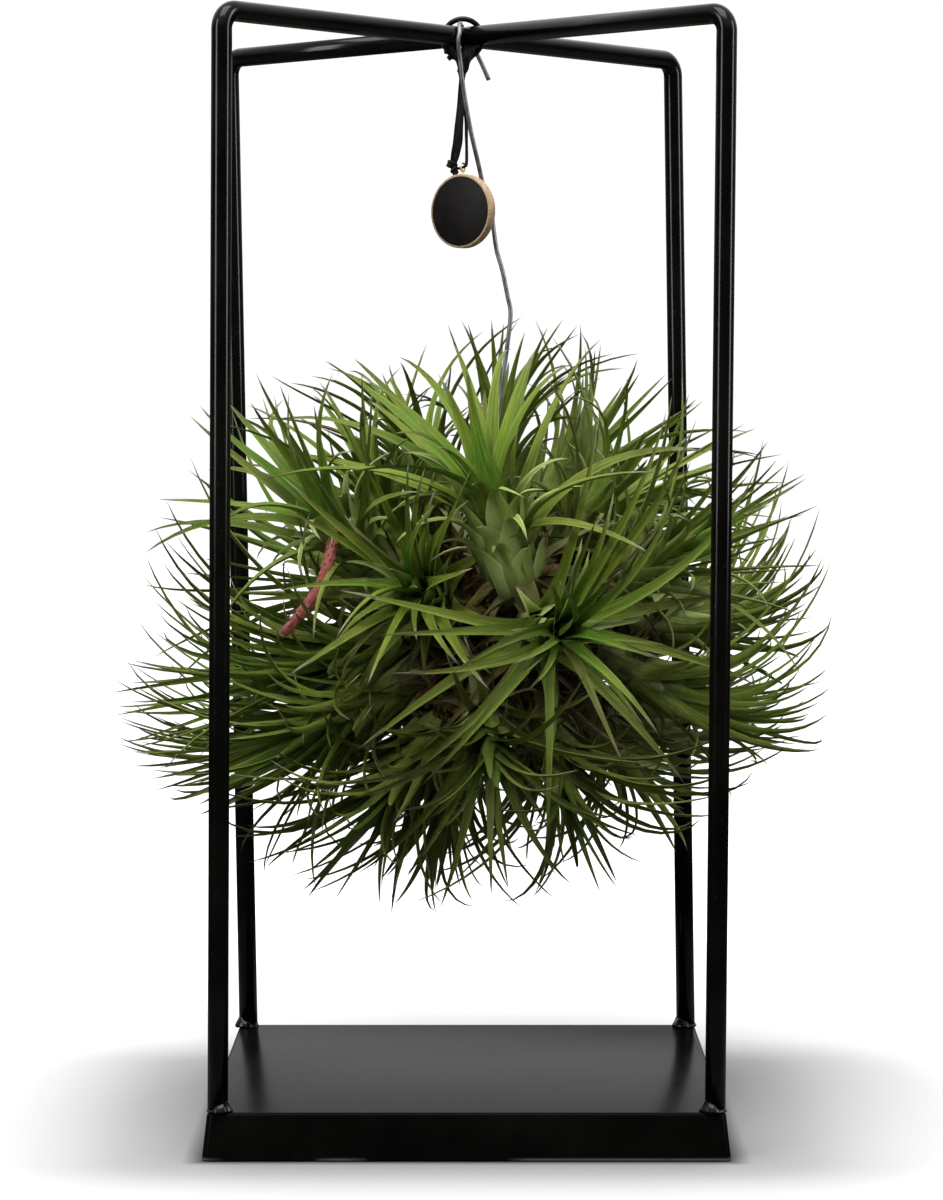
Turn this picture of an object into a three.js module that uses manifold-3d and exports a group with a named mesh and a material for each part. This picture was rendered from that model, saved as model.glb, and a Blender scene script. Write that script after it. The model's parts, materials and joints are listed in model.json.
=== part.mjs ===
// An air plant that hangs on a wire in an open frame of black steel rod, on a folded steel tray.
// Millimetres, +Z up. The origin is on the ground under the middle of the tray; -Y is the front.
import * as THREE from "three";
import { mergeVertices } from "three/addons/utils/BufferGeometryUtils.js";
import Module from "manifold-3d";

const wasm = await Module();
wasm.setup();

// ---- Tray and posts ----
const TRAY_SIDE = 200;
const TRAY_FOOT_SIDE = 204;
const TRAY_HEIGHT = 18;
const SHEET = 1.6;
const ROD_RADIUS = 4;
const POST_REACH = 96;
const BAR_HEIGHT = 439.5;
const BEND_RADIUS = 7;
const TOP_TWIST = 0.052;
const TOP_SHIFT = new THREE.Vector3(-1.6, -1.4, 0);
const GAP = 0.3;

// ---- Ring, wire, ribbon and tag ----
const RING_RADIUS = 7.9;
const RING_STOCK = 1.1;
const RING_DROP = 0.65;
const WIRE_RADIUS = 0.9;
const TAG_RADIUS = 15;
const TAG_THICKNESS = 4;
const TAG_CENTRE = new THREE.Vector3(-2.7, -5, 368.9);
const TAG_TURN = 0.64;
const EYE_RADIUS = 1.6;
const EYE_STOCK = 0.45;

// ---- Plant ----
const HUB = new THREE.Vector3(6, 2, 198);
const STEM_RADIUS = 4.2;
const BLADE_WIDTH = 6.2;
const SHEATH_SHARE = 0.07;
const BLADE_STEPS = 12;
const ROOT_SHARE = 0.2;
const BLADE_ATTEMPTS = 64;
const GOLDEN_ANGLE = 2.399963;
// Outline of the foliage from below to above: height, reach to the left, reach to the right.
const OUTLINE = [
  [82, -36, 20], [95, -85, 80], [103, -94, 85], [116, -104, 94], [128, -115, 110], [141, -134, 129],
  [153, -143, 146], [162, -147, 148.5], [180, -144, 149], [198, -140, 149], [235, -132, 148.5],
  [246, -130, 146], [259, -122, 143], [270, -116, 135], [280, -114, 124], [290, -112, 100],
  [303, -96, 92], [313, -40, 74], [327, -6, 38],
];
const DEPTH_REACH = 131;
// Foot of the rosette, its heart, length of its blades, their number, rise of their ends, spread,
// breadth of its blades and the share of its stem that stays bare.
const ROSETTES = [
  [[22, -42, 214], [9, -68, 256], 108, 18, -0.12, 0.84, 1.35, 0.4],
  [[26, -45, 201], [38, -80, 203], 104, 21, -0.05, 1.15, 1.2, 0.1],
  [[-30, -28, 216], [-55, -56, 249], 106, 20, 0.05, 0.8, 1.2, 0.25],
  [[-26, -20, 231], [-37, -28, 257], 78, 12, 0.1, 0.7, 1, 0.2],
  [[-9, 2, 243], [-20, 4, 274], 90, 14, 0.05, 0.6, 1, 0.1],
  [[12, 14, 249], [13, 18, 280], 88, 12, 0, 0.45, 1, 0.1],
  [[24, 24, 241], [47, 28, 264], 100, 19, 0.1, 0.45, 1.05, 0.1],
  [[44, 44, 223], [68, 64, 246], 84, 13, 0.1, 0.6, 1, 0.1],
  [[50, -18, 215], [78, -36, 229], 92, 16, 0.15, 0.55, 1.1, 0.15],
  [[70, 18, 201], [100, 30, 200], 108, 18, 0.75, 0.5, 1, 0.08],
  [[61, 4, 184], [89, 6, 170], 108, 18, 0.5, 0.45, 1, 0.08],
  [[56, 34, 167], [79, 58, 150], 98, 14, 0.2, 0.5, 1, 0.08],
  [[-24, -16, 199], [-54, -32, 190], 128, 22, 0.35, 0.42, 1.1, 0.08],
  [[-25, 2, 173], [-55, 0, 158], 130, 20, 0.4, 0.42, 1.1, 0.08],
  [[-24, 32, 210], [-60, 56, 222], 100, 14, 0.3, 0.6, 1, 0.08],
  [[-9, -18, 165], [-27, -40, 140], 104, 17, 0.1, 0.45, 1.1, 0.08],
  [[1, 6, 159], [-9, 0, 131], 92, 14, 0.1, 0.5, 1, 0.08],
  [[30, -14, 164], [38, -32, 140], 96, 15, 0.1, 0.55, 1.05, 0.08],
  [[48, 16, 166], [67, 26, 141], 90, 13, 0.2, 0.55, 1, 0.08],
  [[6, -36, 172], [10, -68, 152], 92, 13, 0, 0.65, 1.1, 0.08],
  [[-11, -36, 212], [-22, -70, 221], 84, 12, 0, 0.85, 1.1, 0.1],
  [[22, 50, 208], [14, 86, 234], 92, 12, 0.1, 0.7, 1, 0.08],
  [[-16, 50, 203], [-43, 88, 216], 92, 12, 0.15, 0.7, 1, 0.08],
  [[5, 56, 180], [0, 98, 170], 92, 12, 0.15, 0.7, 1, 0.08],
  [[50, 50, 191], [75, 86, 196], 92, 12, 0.2, 0.6, 1, 0.08],
  [[-18, 44, 173], [-44, 76, 153], 92, 12, 0.2, 0.6, 1, 0.08],
  [[29, 44, 164], [38, 74, 140], 90, 12, 0.2, 0.6, 1, 0.08],
  [[-26, -26, 181], [-55, -48, 164], 116, 17, 0.2, 0.4, 1.1, 0.08],
  [[34, 0, 227], [53, -14, 250], 94, 14, 0, 0.55, 1.1, 0.15],
];
// The older blades of the first rosette part at its front, and show its sheaths.
const PARTED_ROSETTE = 0;
const PARTING = 0.38;
// The space before those sheaths, which the other blades leave free: its least and greatest x, y and z.
const CLEARING = [[3, -150, 213], [31, -50, 258]];
const WITHERED_BLADES = 11;
// The old flower stalk arches away from the third rosette; the bud sits in the heart of the fourth.
const STALK_POINTS = [
  [-50.45, -56.15, 242], [-52.5, -61.6, 236.2], [-54, -65, 229], [-57.5, -66.5, 219], [-64, -65, 209.5],
  [-71.5, -60, 201],
];
const STALK_RADIUS = 1.9;
const BUD_ROSETTE = 3;

const group = new THREE.Group();
const UP = new THREE.Vector3(0, 0, 1);

// ---- Shared makers ----

// A solid from a three.js geometry.
function solidOf(geometry) {
  const bare = geometry.index ? geometry.toNonIndexed() : geometry.clone();
  const positions = new THREE.BufferGeometry();
  positions.setAttribute("position", bare.getAttribute("position"));
  const merged = mergeVertices(positions, 1e-3);
  const mesh = new wasm.Mesh({
    numProp: 3,
    vertProperties: merged.attributes.position.array,
    triVerts: new Uint32Array(merged.index.array),
  });
  return new wasm.Manifold(mesh);
}

// A solid through rings of equal point count, closed flat at both ends. A last ring of one point is a tip.
function loft(rings) {
  const sides = rings[0].length;
  const tipped = rings[rings.length - 1].length === 1;
  const full = tipped ? rings.length - 1 : rings.length;
  const points = rings.flat();
  const faces = [];
  for (let j = 1; j < sides - 1; j += 1) {
    faces.push([0, j + 1, j]);
  }
  for (let i = 0; i < full - 1; i += 1) {
    for (let j = 0; j < sides; j += 1) {
      const here = i * sides;
      const there = here + sides;
      const next = (j + 1) % sides;
      faces.push([here + j, here + next, there + next]);
      faces.push([here + j, there + next, there + j]);
    }
  }
  const last = (full - 1) * sides;
  if (tipped) {
    for (let j = 0; j < sides; j += 1) {
      faces.push([last + j, last + ((j + 1) % sides), points.length - 1]);
    }
  } else {
    for (let j = 1; j < sides - 1; j += 1) {
      faces.push([last, last + j, last + j + 1]);
    }
  }
  let volume = 0;
  for (const [a, b, c] of faces) {
    volume += points[a].dot(points[b].clone().cross(points[c]));
  }
  if (volume < 0) {
    faces.forEach((face) => face.reverse());
  }
  const geometry = new THREE.BufferGeometry().setFromPoints(points);
  geometry.setIndex(faces.flat());
  return solidOf(geometry);
}

// A path that an extrusion follows point by point.
class PointPath extends THREE.Curve {
  constructor(points) {
    super();
    this.points = points;
  }

  getPoint(t) {
    const place = Math.min(Math.max(t, 0), 1) * (this.points.length - 1);
    const index = Math.min(Math.floor(place), this.points.length - 2);
    return this.points[index].clone().lerp(this.points[index + 1], place - index);
  }

  getTangent(t) {
    const place = Math.round(t * (this.points.length - 1));
    const before = this.points[Math.max(place - 1, 0)];
    const here = this.points[place];
    const after = this.points[Math.min(place + 1, this.points.length - 1)];
    const arriving = here.clone().sub(before).normalize();
    const leaving = after.clone().sub(here).normalize();
    return arriving.add(leaving).normalize();
  }

  getUtoTmapping(u) {
    return u;
  }
}

// A round rod or wire along points.
function tube(points, radius, sides) {
  const section = new THREE.Shape();
  for (let i = 0; i < sides; i += 1) {
    const angle = (i / sides) * 2 * Math.PI;
    const x = radius * Math.cos(angle);
    const y = radius * Math.sin(angle);
    if (i === 0) {
      section.moveTo(x, y);
    } else {
      section.lineTo(x, y);
    }
  }
  const options = { steps: points.length - 1, extrudePath: new PointPath(points) };
  return solidOf(new THREE.ExtrudeGeometry(section, options));
}

// Adds one named node to the object.
function addNode(name, solid, color, metalness, roughness) {
  const data = solid.getMesh();
  const geometry = new THREE.BufferGeometry();
  const positions = new Float32Array(data.numVert * 3);
  for (let i = 0; i < data.numVert; i += 1) {
    const start = i * data.numProp;
    positions.set(data.vertProperties.subarray(start, start + 3), i * 3);
  }
  geometry.setAttribute("position", new THREE.BufferAttribute(positions, 3));
  geometry.setIndex(new THREE.BufferAttribute(new Uint32Array(data.triVerts), 1));
  geometry.computeVertexNormals();
  const material = new THREE.MeshStandardMaterial({ color, metalness, roughness });
  const mesh = new THREE.Mesh(geometry, material);
  mesh.name = name;
  group.add(mesh);
}

// Joins a list of solids into one.
function join(solids) {
  return wasm.Manifold.union(solids);
}

// ---- Base tray ----

// A square ring of points with small round corners.
function squareRing(side, corner, z) {
  const points = [];
  const inner = side / 2 - corner;
  for (let quarter = 0; quarter < 4; quarter += 1) {
    const middle = Math.PI / 4 + (quarter * Math.PI) / 2;
    const centreX = Math.sign(Math.cos(middle)) * inner;
    const centreY = Math.sign(Math.sin(middle)) * inner;
    for (let i = 0; i < 4; i += 1) {
      const angle = (quarter * Math.PI) / 2 + (i / 3) * (Math.PI / 2);
      const x = centreX + corner * Math.cos(angle);
      const y = centreY + corner * Math.sin(angle);
      points.push(new THREE.Vector3(x, y, z));
    }
  }
  return points;
}

function baseTray() {
  const outside = loft([
    squareRing(TRAY_FOOT_SIDE, 3, 0),
    squareRing(TRAY_SIDE + 0.4, 3, TRAY_HEIGHT - 1),
    squareRing(TRAY_SIDE - 1.2, 3, TRAY_HEIGHT),
  ]);
  const inside = loft([
    squareRing(TRAY_FOOT_SIDE - 2 * SHEET + 0.2, 1.6, -1),
    squareRing(TRAY_SIDE - 2 * SHEET, 1.6, TRAY_HEIGHT - SHEET),
  ]);
  return outside.subtract(inside);
}

// ---- Rod hoops ----

function postFoot(signX, signY) {
  return new THREE.Vector3(signX * POST_REACH, signY * POST_REACH, TRAY_HEIGHT + GAP);
}

// The corner where a post would meet its top bar without a bend.
function topCorner(signX, signY) {
  const corner = new THREE.Vector3(signX * POST_REACH, signY * POST_REACH, BAR_HEIGHT);
  return corner.applyAxisAngle(UP, TOP_TWIST).add(TOP_SHIFT);
}

// Centre line from a post's foot, round its bend, to a point on the top bar.
function postAndBar(signX, signY, barEnd) {
  const foot = postFoot(signX, signY);
  const corner = topCorner(signX, signY);
  const down = foot.clone().sub(corner).normalize();
  const along = barEnd.clone().sub(corner).normalize();
  const half = Math.acos(down.dot(along)) / 2;
  const setback = BEND_RADIUS / Math.tan(half);
  const middle = down.clone().add(along).normalize();
  const centre = corner.clone().addScaledVector(middle, BEND_RADIUS / Math.sin(half));
  const start = corner.clone().addScaledVector(down, setback).sub(centre);
  const end = corner.clone().addScaledVector(along, setback).sub(centre);
  const axis = start.clone().cross(end).normalize();
  const points = [foot];
  for (let i = 0; i <= 5; i += 1) {
    const angle = (i / 5) * (Math.PI - 2 * half);
    points.push(start.clone().applyAxisAngle(axis, angle).add(centre));
  }
  points.push(barEnd);
  return points;
}

// The bead of weld round a post's foot.
function footBead(signX, signY) {
  const foot = postFoot(signX, signY);
  const rings = [[5.6, 0], [5.4, 0.9], [3.6, 2.6]].map(([radius, rise]) => {
    const ring = [];
    for (let i = 0; i < 10; i += 1) {
      const angle = (i / 10) * 2 * Math.PI;
      const step = new THREE.Vector3(radius * Math.cos(angle), radius * Math.sin(angle), rise);
      ring.push(foot.clone().add(step));
    }
    return ring;
  });
  return loft(rings);
}

const crossing = new THREE.Vector3(0, 0, BAR_HEIGHT).add(TOP_SHIFT);

function mainHoop() {
  const first = postAndBar(-1, -1, crossing);
  const second = postAndBar(1, 1, crossing);
  second.pop();
  const points = first.concat(second.reverse());
  return join([tube(points, ROD_RADIUS, 10), footBead(-1, -1), footBead(1, 1)]);
}

function hoopArm(signX, signY) {
  const away = topCorner(signX, signY).sub(crossing).normalize();
  const end = crossing.clone().addScaledVector(away, ROD_RADIUS + GAP);
  const points = postAndBar(signX, signY, end);
  return join([tube(points, ROD_RADIUS, 10), footBead(signX, signY)]);
}

// ---- Ring and wire at the crossing ----

function hangingRing() {
  const ring = new THREE.TorusGeometry(RING_RADIUS, RING_STOCK, 6, 24);
  ring.rotateX(Math.PI / 2);
  ring.translate(crossing.x, crossing.y, crossing.z - RING_DROP);
  return solidOf(ring);
}

// The wire as bent by hand: tail, hook over the bars, long leg, then down through the hub to a small hook.
const HOOK_POINTS = [
  [10.6, 10.4, -16.4], [7.8, 11.2, -10], [5.6, 11.4, -5.6], [3, 10.9, -1.6], [1.2, 9.4, 1.6],
  [0.1, 6.6, 3.9], [-0.6, 3, 4.95], [-0.9, 0, 5.05], [-1.1, -3, 5.05], [-1.4, -6.3, 4.1],
  [-1.2, -8.9, 1.4], [-1.8, -9.7, -2.6],
];
const LEG_POINTS = [
  [-2.7, -9.6, 430], [-1.6, -8.4, 420], [1.5, -5, 402], [4.8, 0.4, 388], [6.9, 4, 379], [9.9, 4, 369],
  [12.2, 3, 353.5], [14.4, 2, 345.7], [16.7, 2, 334.7], [17.8, 2, 329.4], [17.8, 2, 325],
  [17.3, 2, 320.5], [16.5, 2, 314], [15.2, 2, 304], [12.8, 2, 284], [9.4, 2, 243], [7.6, 2, 214],
  [6.6, 2, 190], [6.8, 2, 176], [8.6, 2, 171.6], [11.2, 2, 172.8], [12, 2, 177], [12, 2, 182],
];

function wirePoints() {
  const hook = HOOK_POINTS.map((p) => new THREE.Vector3(...p).add(crossing));
  const leg = LEG_POINTS.map((p) => new THREE.Vector3(...p));
  const curve = new THREE.CatmullRomCurve3(hook.concat(leg), false, "centripetal");
  return curve.getPoints(51);
}

// ---- Ribbon and tag ----

// A flat strip: rows of centre, width and thickness; the width runs along the given direction.
function strip(rows, across) {
  const through = across.clone().cross(UP).normalize();
  const rings = rows.map(([x, y, z, width, thick]) => {
    const centre = new THREE.Vector3(x, y, z);
    return [[-1, -1], [1, -1], [1, 1], [-1, 1]].map(([a, b]) => {
      const corner = centre.clone().addScaledVector(across, (a * width) / 2);
      return corner.addScaledVector(through, (b * thick) / 2);
    });
  });
  return loft(rings);
}

const tagFacing = new THREE.Vector3(-Math.sin(TAG_TURN), -Math.cos(TAG_TURN), 0);
const tagAcross = new THREE.Vector3(Math.cos(TAG_TURN), -Math.sin(TAG_TURN), 0);
const eyeCentre = TAG_CENTRE.clone().addScaledVector(tagFacing, -TAG_THICKNESS / 2);
eyeCentre.z += TAG_RADIUS + GAP + EYE_RADIUS + EYE_STOCK + 0.5;

// The ribbon is hitched through the ring in a crumpled bunch, then hangs as a loop to the tag's eye.
function ribbon() {
  const x = new THREE.Vector3(1, 0, 0);
  const bottom = crossing.z - RING_DROP - RING_RADIUS;
  const knot = eyeCentre.clone().addScaledVector(tagAcross, -4.6);
  const right = eyeCentre.clone().addScaledVector(tagAcross, 1.6);
  const bunch = strip(
    [
      [crossing.x + 0.3, crossing.y - 0.2, crossing.z - 4.5, 11, 5],
      [crossing.x - 0.2, crossing.y - 0.2, crossing.z - 7.2, 9.5, 5.6],
      [crossing.x - 0.3, crossing.y - 0.2, bottom - 2.4, 4.6, 4.6],
      [-1.9, -1.4, 425, 2, 1.8],
      [-1.9, -1.4, 421.5, 2, 1.2],
    ],
    x,
  );
  const pleats = [[-8.6, -2.6, -3.6], [-7.6, -2.4, -6.2], [-6, -2.6, -9.2]].map(([dx, dy, dz]) => {
    const tip = new THREE.Vector3(dx, dy, dz).add(crossing);
    const root = new THREE.Vector3(-1, -1.8, -6.6).add(crossing);
    return loft([sectionAt(root, 0.5, 1.6), sectionAt(tip, 0.35, 1)]);
  });
  const left = strip(
    [
      [-1.9, -1.4, 423, 1.8, 1.2],
      [-2.6, -2, 410, 3, 0.9],
      [-3.6, -2.6, 397, 3.8, 0.8],
      [-4.6, -3, 391, 3.6, 0.9],
      [knot.x - 0.4, knot.y, knot.z, 3.6, 2.4],
    ],
    x,
  );
  const narrow = strip(
    [
      [-1.7, -1.4, 423, 1.2, 1],
      [-0.2, -1.7, 402, 1.6, 0.8],
      [right.x, right.y, right.z - 0.45, 1.4, 1],
    ],
    x,
  );
  const lump = new THREE.IcosahedronGeometry(1, 1);
  lump.scale(2.4, 2, 3.1);
  lump.translate(knot.x - 0.8, knot.y, knot.z + 0.4);
  const run = loft([sectionAt(knot, 0.35, 0.45), sectionAt(right, 0.35, 0.45)]);
  const sleeve = new THREE.TorusGeometry(RING_RADIUS, RING_STOCK + GAP, 6, 24);
  sleeve.rotateX(Math.PI / 2);
  sleeve.translate(crossing.x, crossing.y, crossing.z - RING_DROP);
  return join([bunch, ...pleats, left, narrow, solidOf(lump), run]).subtract(solidOf(sleeve));
}

// A small upright rectangle across the way through the eye.
function sectionAt(point, halfDeep, halfHigh) {
  return [[-1, -1], [1, -1], [1, 1], [-1, 1]].map(([a, b]) => {
    const corner = point.clone().addScaledVector(tagFacing, a * halfDeep);
    corner.z += b * halfHigh;
    return corner;
  });
}

function tagDisc() {
  const disc = new THREE.CylinderGeometry(TAG_RADIUS, TAG_RADIUS, TAG_THICKNESS, 32);
  disc.rotateZ(Math.PI);
  disc.applyQuaternion(new THREE.Quaternion().setFromUnitVectors(new THREE.Vector3(0, 1, 0), tagFacing));
  const middle = TAG_CENTRE.clone().addScaledVector(tagFacing, -TAG_THICKNESS / 2);
  disc.translate(middle.x, middle.y, middle.z);
  return solidOf(disc);
}

function tagEye() {
  const eye = new THREE.TorusGeometry(EYE_RADIUS, EYE_STOCK, 5, 12);
  eye.applyQuaternion(new THREE.Quaternion().setFromUnitVectors(UP, tagAcross));
  eye.translate(eyeCentre.x, eyeCentre.y, eyeCentre.z);
  const bottom = eyeCentre.clone();
  bottom.z -= EYE_RADIUS + EYE_STOCK + 0.5;
  const top = eyeCentre.clone();
  top.z -= EYE_RADIUS;
  return join([solidOf(eye), tube([bottom, top], EYE_STOCK + 0.1, 6)]);
}

// ---- Plant: the rule that sets out every blade ----

// Repeatable numbers between 0 and 1.
function stream(seed) {
  let state = seed >>> 0;
  return () => {
    state = (state + 0x6d2b79f5) >>> 0;
    let t = state;
    t = Math.imul(t ^ (t >>> 15), t | 1);
    t ^= t + Math.imul(t ^ (t >>> 7), t | 61);
    return ((t ^ (t >>> 14)) >>> 0) / 4294967296;
  };
}

const rosettes = ROSETTES.map((row, number) => {
  const [foot, heart, blade, count, rise, spread, broad, bare] = row;
  const base = new THREE.Vector3(...foot);
  const axis = new THREE.Vector3(...heart).sub(base);
  const stem = axis.length();
  axis.normalize();
  const side = axis.clone().cross(UP).normalize();
  const front = side.clone().cross(axis);
  const girth = SHEATH_SHARE * blade * broad;
  const shape = { blade, count, rise, spread, broad, bare };
  return { number, base, axis, side, front, stem, girth, ...shape };
});

// The way round the stem that a blade leaves it. Where blades part, the older ones turn away from the front.
function bladeTurn(rosette, turn, age) {
  if (rosette.number !== PARTED_ROSETTE) return turn;
  const half = Math.PI / 2;
  const round = 2 * Math.PI;
  const fromBack = (((turn + half) % round) + round) % round - Math.PI;
  return half + fromBack * (1 - PARTING * age);
}

// One blade of a rosette: points of its centre line, the direction across it and its full width there.
// Index 0 is the youngest blade in the heart. Later attempts stray further from the regular pattern.
function layBlade(rosette, index, attempt) {
  const random = stream((rosette.number * 64 + index) * 64 + attempt);
  const stray = Math.min(1, attempt / 14);
  const vary = (amount) => (random() * 2 - 1) * amount;
  const age = (index + 0.5) / rosette.count;
  const around = index * GOLDEN_ANGLE + rosette.number + vary(0.15 + 0.9 * stray);
  const turn = bladeTurn(rosette, around, age);
  const lean = rosette.spread * (0.1 + 0.8 * age) + vary(0.08 + 0.25 * stray);
  const curl = (0.15 + 0.85 * rosette.spread) * (0.3 + 0.95 * age) + vary(0.25 + 0.5 * stray);
  const sweep = vary(0.3 + 0.5 * stray);
  const full = 0.62 + 0.38 * Math.sin(Math.PI * (0.12 + 0.75 * age));
  const shrink = 1 - 0.5 * Math.max(0, (attempt - 16) / BLADE_ATTEMPTS);
  const length = rosette.blade * full * shrink * (1 + vary(0.1));
  const width = BLADE_WIDTH * rosette.broad * (0.76 + 0.26 * age) * (1 + vary(0.12));
  const step = length / BLADE_STEPS;
  const outward = (angle) => {
    const x = rosette.side.clone().multiplyScalar(Math.cos(angle));
    return x.addScaledVector(rosette.front, Math.sin(angle));
  };
  const height = rosette.stem * (0.94 - (0.94 - rosette.bare) * age);
  const point = rosette.base.clone().addScaledVector(rosette.axis, height);
  point.addScaledVector(outward(turn), rosette.girth * (0.2 + 0.4 * age));
  let across = rosette.axis.clone().cross(outward(turn)).normalize();
  const points = [];
  const acrosses = [];
  const widths = [];
  for (let i = 0; i <= BLADE_STEPS; i += 1) {
    const s = i / BLADE_STEPS;
    const angle = lean + curl * s;
    const heading = rosette.axis.clone().multiplyScalar(Math.cos(angle));
    heading.addScaledVector(outward(turn + sweep * s), Math.sin(angle));
    heading.z += rosette.rise * s * 1.4;
    heading.normalize();
    across = across.clone().addScaledVector(heading, -across.dot(heading)).normalize();
    points.push(point.clone());
    acrosses.push(across);
    widths.push(width * Math.pow(1 - s, 0.85) + 0.25);
    point.addScaledVector(heading, step);
  }
  return { points, acrosses, widths, young: age < 0.34 };
}

// ---- Plant: keeping clear ----

const CELL = 18;
const cells = new Map();

function cellKeys(a, b) {
  const keys = [];
  const low = a.clone().min(b).subScalar(5).divideScalar(CELL).floor();
  const high = a.clone().max(b).addScalar(5).divideScalar(CELL).floor();
  for (let x = low.x; x <= high.x; x += 1) {
    for (let y = low.y; y <= high.y; y += 1) {
      for (let z = low.z; z <= high.z; z += 1) {
        keys.push(`${x},${y},${z}`);
      }
    }
  }
  return keys;
}

function occupy(a, b, radius, owner, outer = false) {
  const piece = { a, b, radius, owner, outer };
  for (const key of cellKeys(a, b)) {
    if (!cells.has(key)) {
      cells.set(key, []);
    }
    cells.get(key).push(piece);
  }
}

// Least distance between two straight pieces.
function distanceBetween(a, b, c, d) {
  const u = b.clone().sub(a);
  const v = d.clone().sub(c);
  const w = a.clone().sub(c);
  const uu = u.dot(u);
  const uv = u.dot(v);
  const vv = v.dot(v);
  const uw = u.dot(w);
  const vw = v.dot(w);
  const clamp = (value) => Math.min(1, Math.max(0, value));
  const bottom = uu * vv - uv * uv;
  let s = bottom > 1e-9 ? clamp((uv * vw - vv * uw) / bottom) : 0;
  let t = clamp((uv * s + vw) / vv);
  s = clamp((uv * t - uw) / uu);
  t = clamp((uv * s + vw) / vv);
  return w.addScaledVector(u, s).addScaledVector(v, -t).length();
}

// The outer parts of a rosette's own blades keep clear of each other as well.
function isFree(a, b, radius, owner, outer) {
  for (const key of cellKeys(a, b)) {
    for (const piece of cells.get(key) ?? []) {
      if (piece.owner === owner && !(outer && piece.outer)) {
        continue;
      }
      if (piece.owner === `branch ${owner}` && !outer) {
        continue;
      }
      const needed = 0.86 * (radius + piece.radius) + 0.45;
      if (distanceBetween(a, b, piece.a, piece.b) < needed) {
        return false;
      }
    }
  }
  return true;
}

// Inside the outline of the foliage, and between the posts where it passes them.
function isWithinReach(point) {
  const above = OUTLINE.findIndex((row) => row[0] > point.z);
  if (above < 1) {
    return false;
  }
  const [lowZ, lowLeft, lowRight] = OUTLINE[above - 1];
  const [highZ, highLeft, highRight] = OUTLINE[above];
  const share = (point.z - lowZ) / (highZ - lowZ);
  const left = lowLeft + share * (highLeft - lowLeft);
  const right = lowRight + share * (highRight - lowRight);
  const middle = (left + right) / 2;
  const half = (right - left) / 2;
  const across = Math.abs(point.x - middle) / half;
  const deep = Math.abs(point.y) / (DEPTH_REACH * Math.min(1, half / 140));
  if (Math.pow(across, 3) + Math.pow(deep, 3) > 1) {
    return false;
  }
  return !(Math.abs(point.x) > 80 && Math.abs(point.y) > 86);
}

// True for a point before the sheaths of the parted rosette.
function isInClearing(point) {
  const [least, most] = CLEARING;
  return point.toArray().every((value, i) => value > least[i] && value < most[i]);
}

function bladeFits(blade, owner) {
  if (owner !== PARTED_ROSETTE && blade.points.some(isInClearing)) {
    return false;
  }
  for (let i = 0; i < BLADE_STEPS; i += 2) {
    const a = blade.points[i];
    const b = blade.points[i + 2];
    if (!isWithinReach(b) || !isFree(a, b, blade.widths[i] / 2, owner, i >= 4)) {
      return false;
    }
  }
  return true;
}

// ---- Plant: solids ----

// A blade is flat above and keeled below, and runs out to a point.
function bladeSolid(blade) {
  const rings = (blade.young ? [0, 6] : [0, 4, 8]).map((i) => {
    const { points, acrosses, widths } = blade;
    const before = points[Math.max(i - 1, 0)];
    const heading = points[i + 1].clone().sub(before).normalize();
    const above = acrosses[i].clone().cross(heading).normalize();
    const half = ((i === 0 ? ROOT_SHARE : 1) * widths[i]) / 2;
    const left = points[i].clone().addScaledVector(acrosses[i], -half).addScaledVector(above, 0.35);
    const right = points[i].clone().addScaledVector(acrosses[i], half).addScaledVector(above, 0.35);
    const keel = points[i].clone().addScaledVector(above, -0.75);
    return [left, right, keel];
  });
  rings.push([blade.points[BLADE_STEPS]]);
  return loft(rings);
}

// A ring of points round a rosette's axis.
function stemRing(rosette, along, radius, sides) {
  const ring = [];
  for (let i = 0; i < sides; i += 1) {
    const angle = (i / sides) * 2 * Math.PI;
    const point = rosette.base.clone().addScaledVector(rosette.axis, along);
    point.addScaledVector(rosette.side, radius * Math.cos(angle));
    point.addScaledVector(rosette.front, radius * Math.sin(angle));
    ring.push(point);
  }
  return ring;
}

// The sheathed stem that carries the blades.
function sheathedStem(rosette) {
  const profile = [[0, 0.7], [0.2, 1], [0.6, 0.85], [0.9, 0.5]];
  const rings = profile.map(([along, share]) => {
    return stemRing(rosette, along * rosette.stem, share * rosette.girth, 5);
  });
  rings.push([rosette.base.clone().addScaledVector(rosette.axis, rosette.stem + 2)]);
  return loft(rings);
}

// The bare woody branch from the hub to a rosette.
function branchPoints(rosette) {
  const end = rosette.base.clone().addScaledVector(rosette.axis, -GAP);
  const bend = rosette.base.clone().addScaledVector(rosette.axis, -16);
  const curve = new THREE.QuadraticBezierCurve3(HUB, bend, end);
  return curve.getPoints(2);
}

function branchSolid(rosette) {
  const points = branchPoints(rosette);
  const rings = points.map((point, i) => {
    const along = i === points.length - 1 ? rosette.axis : point.clone().sub(HUB).normalize();
    const heading = i === 0 ? points[1].clone().sub(points[0]).normalize() : along;
    const side = heading.clone().cross(UP).normalize();
    const front = side.clone().cross(heading);
    const ring = [];
    for (let j = 0; j < 4; j += 1) {
      const angle = (j / 4) * 2 * Math.PI;
      const place = point.clone().addScaledVector(side, STEM_RADIUS * Math.cos(angle));
      ring.push(place.addScaledVector(front, STEM_RADIUS * Math.sin(angle)));
    }
    return ring;
  });
  return loft(rings);
}

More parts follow.
